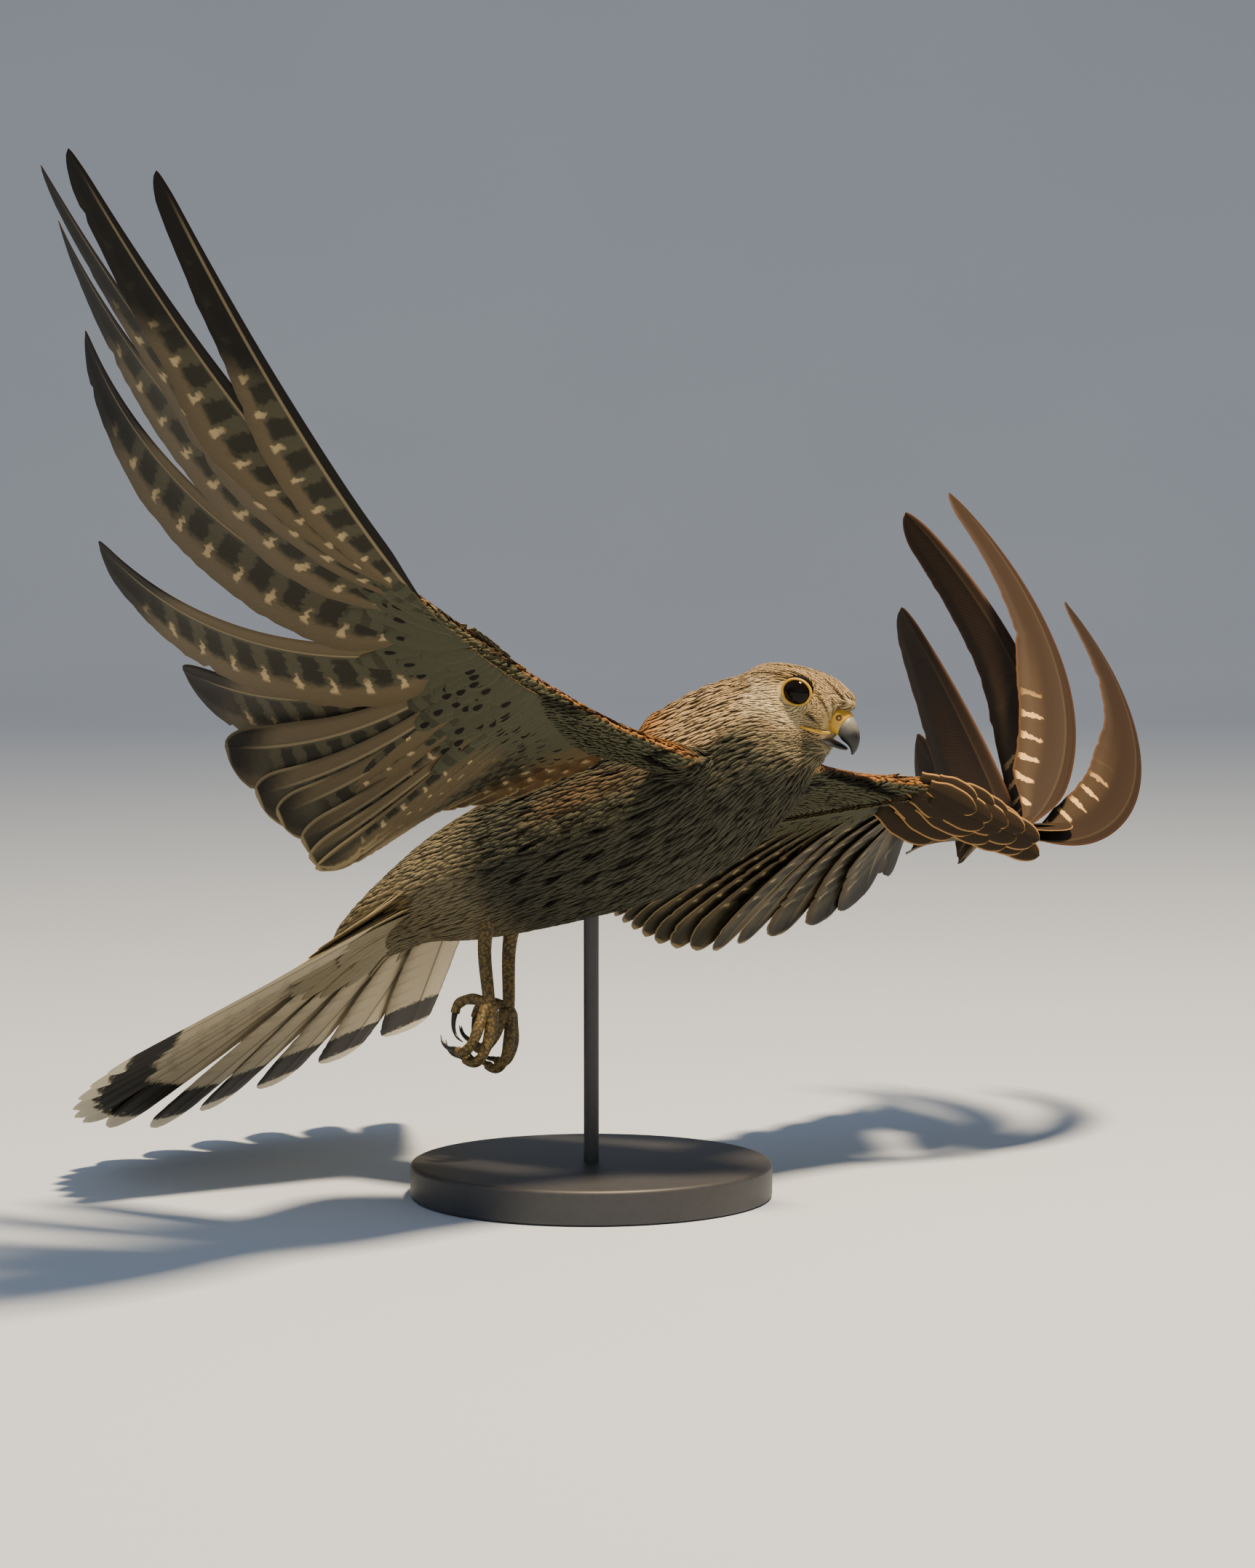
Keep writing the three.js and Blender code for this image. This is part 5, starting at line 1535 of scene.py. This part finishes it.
def tail_material():
    """Tail feathers: pale below with thin dark shafts, a black band and cream ends."""
    material, shader, add = new_material("tail_feather_vane", Roughness=0.65, Specular_IOR_Level=0.15)
    vane = Vane(add)
    # The coverts at the tail's root count from 2, and the under ones from 4.
    number, flight = vane.number, add(SOFT, vane.number, 1.6, 1.4)
    ragged = add("TexNoise", vane.place, Scale=0.45, Detail=3.0)
    measured = add(PLUS, vane.to_tip, add(TIMES, add(LESS, ragged, 0.5), 8.0))
    stepped = add(PLUS, measured, add(TIMES, vane.grain, 4.0))
    bars = add(SOFT, add(WAVE, add(TIMES, measured, 0.55)), 0.5, 0.9)
    colour = paint(
        add,
        paint(add, "#8b8982", ("#b6a88a", vane.under)),
        ("#cdbf9f", add(SOFT, vane.share, 0.0, -0.4), 0.7),
        ("#b3a88c", add(SOFT, number, 1.6, 2.0)),
        ("#857a5c", add(SOFT, number, 3.2, 3.8)),
        ("#5b5340", bars, flight, add(SOFT, vane.share, 0.1, 0.7), 0.22),
        ("#51493b", add(SOFT, vane.aside, 0.55, 0.25), flight, 0.75),
        ("#5e5442", add(SOFT, vane.edge, 0.9, 0.3), flight, 0.5),
        ("#14120e", add(SOFT, stepped, 33.0, 30.0), add(SOFT, measured, 7.0, 9.5), flight, 0.97),
        ("#e2d5b8", add(SOFT, measured, 8.6, 6.8), flight),
    )
    finish_vane(add, shader, vane, colour, 0.06 * MM)
    return material


def body_material():
    """Body plumage: streaked breast, rufous back, sandy streaked head, pale cheek; breast, chin and the
    wing's underside are painted dark olive as shade.
    """
    material, shader, add = new_material("body_plumage", Roughness=0.85, Specular_IOR_Level=0.1)
    mantle, sandy, cheek = carried(add, "zone_a")
    vent, chin, lore = carried(add, "zone_b")
    upper, lower, number = carried(add, "zone_c")
    dark, rump, _ = carried(add, "marks")
    _, lateral, along = carried(add, "vane")
    grain = add("Attribute.grain", out="Fac")
    # Barbs along each tuft, coarser than real ones, so that they show.
    barb = add("CombineXYZ", add(TIMES, lateral, 7.0), add(TIMES, along, 0.9), add(TIMES, grain, 50.0))
    barb = add("TexNoise", barb, Scale=1.0, Detail=2.0)
    hand_top = paint(add, "#3c2f20", ("#8c6f45", add(SOFT, grain, 0.72, 0.8)))
    wing_top = paint(add, "#8c6237", (hand_top, add(SOFT, number, 0.42, 0.36)))
    colour = paint(
        add,
        # The ground and its random tone are painted shade: a buff breast in shadow, painted dark olive.
        "#3f3f34",
        ("#48473a", grain),
        ("#776d54", vent),
        ("#9a6e40", mantle),
        ("#a89370", sandy),
        ("#b3a88c", rump),
        ("#c4b492", cheek),
        # Painted shade: the pale throat and chin in shadow, painted dark olive-grey.
        ("#66614e", chin),
        (wing_top, upper),
        # Painted shade: the wing's pale underside coat in shadow, painted dark olive-grey.
        ("#4c4c3b", lower),
        ("#0b0806", dark, 0.96),
        ("#9a8448", lore, 0.4),
    )
    value = add(PLUS, add(TIMES, barb, 0.36), add(TIMES, grain, 0.1))
    value = add(PLUS, value, add(RAMP, along, 0.0, 1.0, 0.72, 0.8))
    finish(shader, add("HueSaturation", Color=colour, Value=value))
    return material


def cere_material():
    """Waxy bare skin: the warm yellow of cere, eye rings and gape, and the nostrils darkened with painted
    shade.
    """
    material, shader, add = new_material("waxy_cere", Roughness=0.4)
    place = add("TexCoord", out="Object")
    mottle = add("TexNoise", place, Scale=1.1 / MM, Detail=3.0)
    openings = to_row(from_head(NOSTRILS)).tolist()
    gap = add("Math.MINIMUM", *(add("VectorMath.DISTANCE", place, at, out="Value") for at in openings))
    # A round hole with a small post in its middle; the hole's dark is painted shade in the opening.
    post = add(SOFT, gap, 0.4 * MM, 0.25 * MM)
    hole = add(TIMES, add(SOFT, gap, 1.2 * MM, MM), add(SOFT, post, 1.0, 0.0))
    finish(shader, paint(add, "#c49a2c", ("#ad8322", mottle), ("#2a1c0c", hole, 0.9)))
    return material


def bill_material():
    """Polished horn: pale blue-grey at the base, near black at the hooked tip."""
    material, shader, add = new_material("horn_bill", Roughness=0.4)
    place = add("TexCoord", out="Object")
    tip = to_row(from_head(BILL_TIP)).tolist()
    cloud = add("TexNoise", place, Scale=0.5 / MM, Detail=3.0)
    reach = add(PLUS, add("VectorMath.DISTANCE", place, tip, out="Value"), add(TIMES, cloud, 2 * MM))
    finish(shader, paint(add, "#0d0e10", ("#77756f", add(SOFT, reach, 7 * MM, 13 * MM))))
    return material


def leg_material():
    """Scaled bare skin: dull yellow plates about a millimetre across, with painted shade darkening the
    creases between them.
    """
    material, shader, add = new_material("scaled_leg", Roughness=0.55)
    scales = add("TexVoronoi", add("TexCoord", out="Object"), Scale=0.9 / MM, out="Distance")
    relief = add("Bump", Height=add(TIMES, scales, -1.0), Strength=0.7, Distance=0.4 * MM)
    # The darker tone towards each plate's edge is painted shade in the creases.
    finish(shader, paint(add, "#6e5a2a", ("#3f331a", add(SOFT, scales, 0.3, 0.75))), relief)
    return material


def clouded_material(name, cells, ground, cloud, detail=2.0, **values):
    """A plain finish of two close tones, clouded in so many cells a millimetre."""
    material, shader, add = new_material(name, **values)
    noise = add("TexNoise", add("TexCoord", out="Object"), Scale=cells / MM, Detail=detail)
    finish(shader, paint(add, ground, (cloud, noise)))
    return material


def bare_materials():
    """The finishes of the bare parts and the stand."""
    return {
        # A moist dark eye: near black, with one small sharp highlight.
        "eye": clouded_material("dark_eye", 1.5, "#070504", "#120b07", Roughness=0.07,
                                Specular_IOR_Level=0.12),
        # Claws of polished horn: blue-black with a soft shine.
        "claw": clouded_material("horn_claw", 0.7, "#101114", "#1c1d20", Roughness=0.3),
        # Satin paint on steel: a quiet dark grey below the bird.
        "stand": clouded_material("painted_stand", 0.4, "#2a2b2d", "#35363a", Roughness=0.5),
        "cere": cere_material(),
        "bill": bill_material(),
        "leg": leg_material(),
    }


def give(pieces, material):
    for piece in pieces:
        piece.data.materials.clear()
        piece.data.materials.append(material)


# The picture.

# Degrees round from the bird's right and up, mm to the camera, and pixels to a mm there.
VIEW = {"azimuth": 32, "elevation": 4, "distance": 1350, "scale": 4.2}
LOOK_AT = Vector((39.1, -39.2, 145.2)) * MM
PICTURE_HEIGHT = 2156
SENSOR = 36
# The floor's side, how high it turns up behind the bird, and the bend between, in metres.
FLOOR, WALL, COVE = 9, 4.5, 1.6


def view_direction():
    """From the bird to the camera."""
    azimuth, elevation = math.radians(VIEW["azimuth"]), math.radians(VIEW["elevation"])
    level = math.cos(elevation)
    return Vector((math.sin(azimuth) * level, -math.cos(azimuth) * level, math.sin(elevation)))


def add_holder(name, data, offset):
    """A camera or lamp that looks at the bird from an offset."""
    holder = add_object(name, data)
    holder.location = LOOK_AT + offset
    holder.rotation_euler = offset.to_track_quat("Z", "Y").to_euler()
    return holder


def build_camera():
    camera = bpy.data.cameras.new("camera")
    camera.sensor_width = SENSOR
    camera.lens = SENSOR * VIEW["distance"] * VIEW["scale"] / PICTURE_HEIGHT
    camera.clip_start, camera.clip_end = 0.05, 30
    bpy.context.scene.camera = add_holder("camera", camera, view_direction() * VIEW["distance"] * MM)


def build_lights():
    """A warm high key light, two weak cool fills and a pale sky."""
    back = view_direction()
    right = Vector((0, 0, 1)).cross(back).normalized()
    up = back.cross(right)
    rows = [
        ("sun_side", right * 0.35 + up * 1.7 + back * 0.4, 0.22, 115, "#ffe2b8"),
        ("sky_fill", -right * 1.3 + up * 0.9 + back * 0.5, 1.5, 3, "#c9d8f0"),
        ("low_fill", back * 1.4 + up * 0.1, 1.4, 1.6, "#d9e4ee"),
    ]
    for name, offset, size, power, colour in rows:
        lamp = bpy.data.lights.new(name, "AREA")
        lamp.size, lamp.energy, lamp.color = size, power, srgb(colour)[:3]
        add_holder(name, lamp, offset)
    world = bpy.data.worlds.new("soft_sky")
    bpy.context.scene.world = world
    world.use_nodes = True
    sky = world.node_tree.nodes["Background"]
    sky.inputs["Color"].default_value = srgb("#dfe6ee")
    sky.inputs["Strength"].default_value = 0.42


def build_stage():
    """A pale floor that bends up behind the bird."""
    floor = placed("plane", "floor", size=FLOOR, rotation=(0, 0, math.radians(VIEW["azimuth"])))
    edit("DESELECT")
    bpy.ops.mesh.select_mode(type="EDGE")
    shut()
    away = -view_direction()
    for edge in floor.data.edges:
        middle = sum((floor.data.vertices[v].co for v in edge.vertices), Vector()) / 2
        edge.select = middle.dot(Vector((away.x, away.y, 0))) > FLOOR / 2 - 0.5
    bpy.ops.object.mode_set(mode="EDIT")
    bpy.ops.mesh.extrude_region_move(TRANSFORM_OT_translate={"value": (0, 0, WALL)})
    shut()
    shaped(floor, "BEVEL", width=COVE, segments=12)
    bpy.ops.object.shade_smooth()
    # Matte backdrop paper: a pale cool ground with hardly any texture.
    paper = clouded_material("backdrop_paper", 0.003, "#b9c5d6", "#b3bfd0", detail=1.0, Roughness=0.9)
    give([floor], paper)


wings = {name: Wing(pose) for name, pose in WINGS.items()}
bare = bare_materials()
flight, covert = flight_material(), covert_material()
for name, wing in wings.items():
    feathers, coverts = build_wing(name, wing)
    give([feathers], flight)
    give([coverts], covert)
give([build_tail()], tail_material())
for piece in build_face():
    kind = piece.name.partition("_")[0]
    give([piece], bare[{"eyeball": "eye", "bill": "bill"}.get(kind, "cere")])
for name, leg in LEGS.items():
    for piece in build_leg(name, leg):
        give([piece], bare["claw" if "talon" in piece.name else "leg"])
give(build_stand(), bare["stand"])
skin = build_skin(wings)
mark_skin(skin, wings)
plumes = body_material()
give([skin, *build_coat(skin, wings)], plumes)
build_camera()
build_lights()
build_stage()
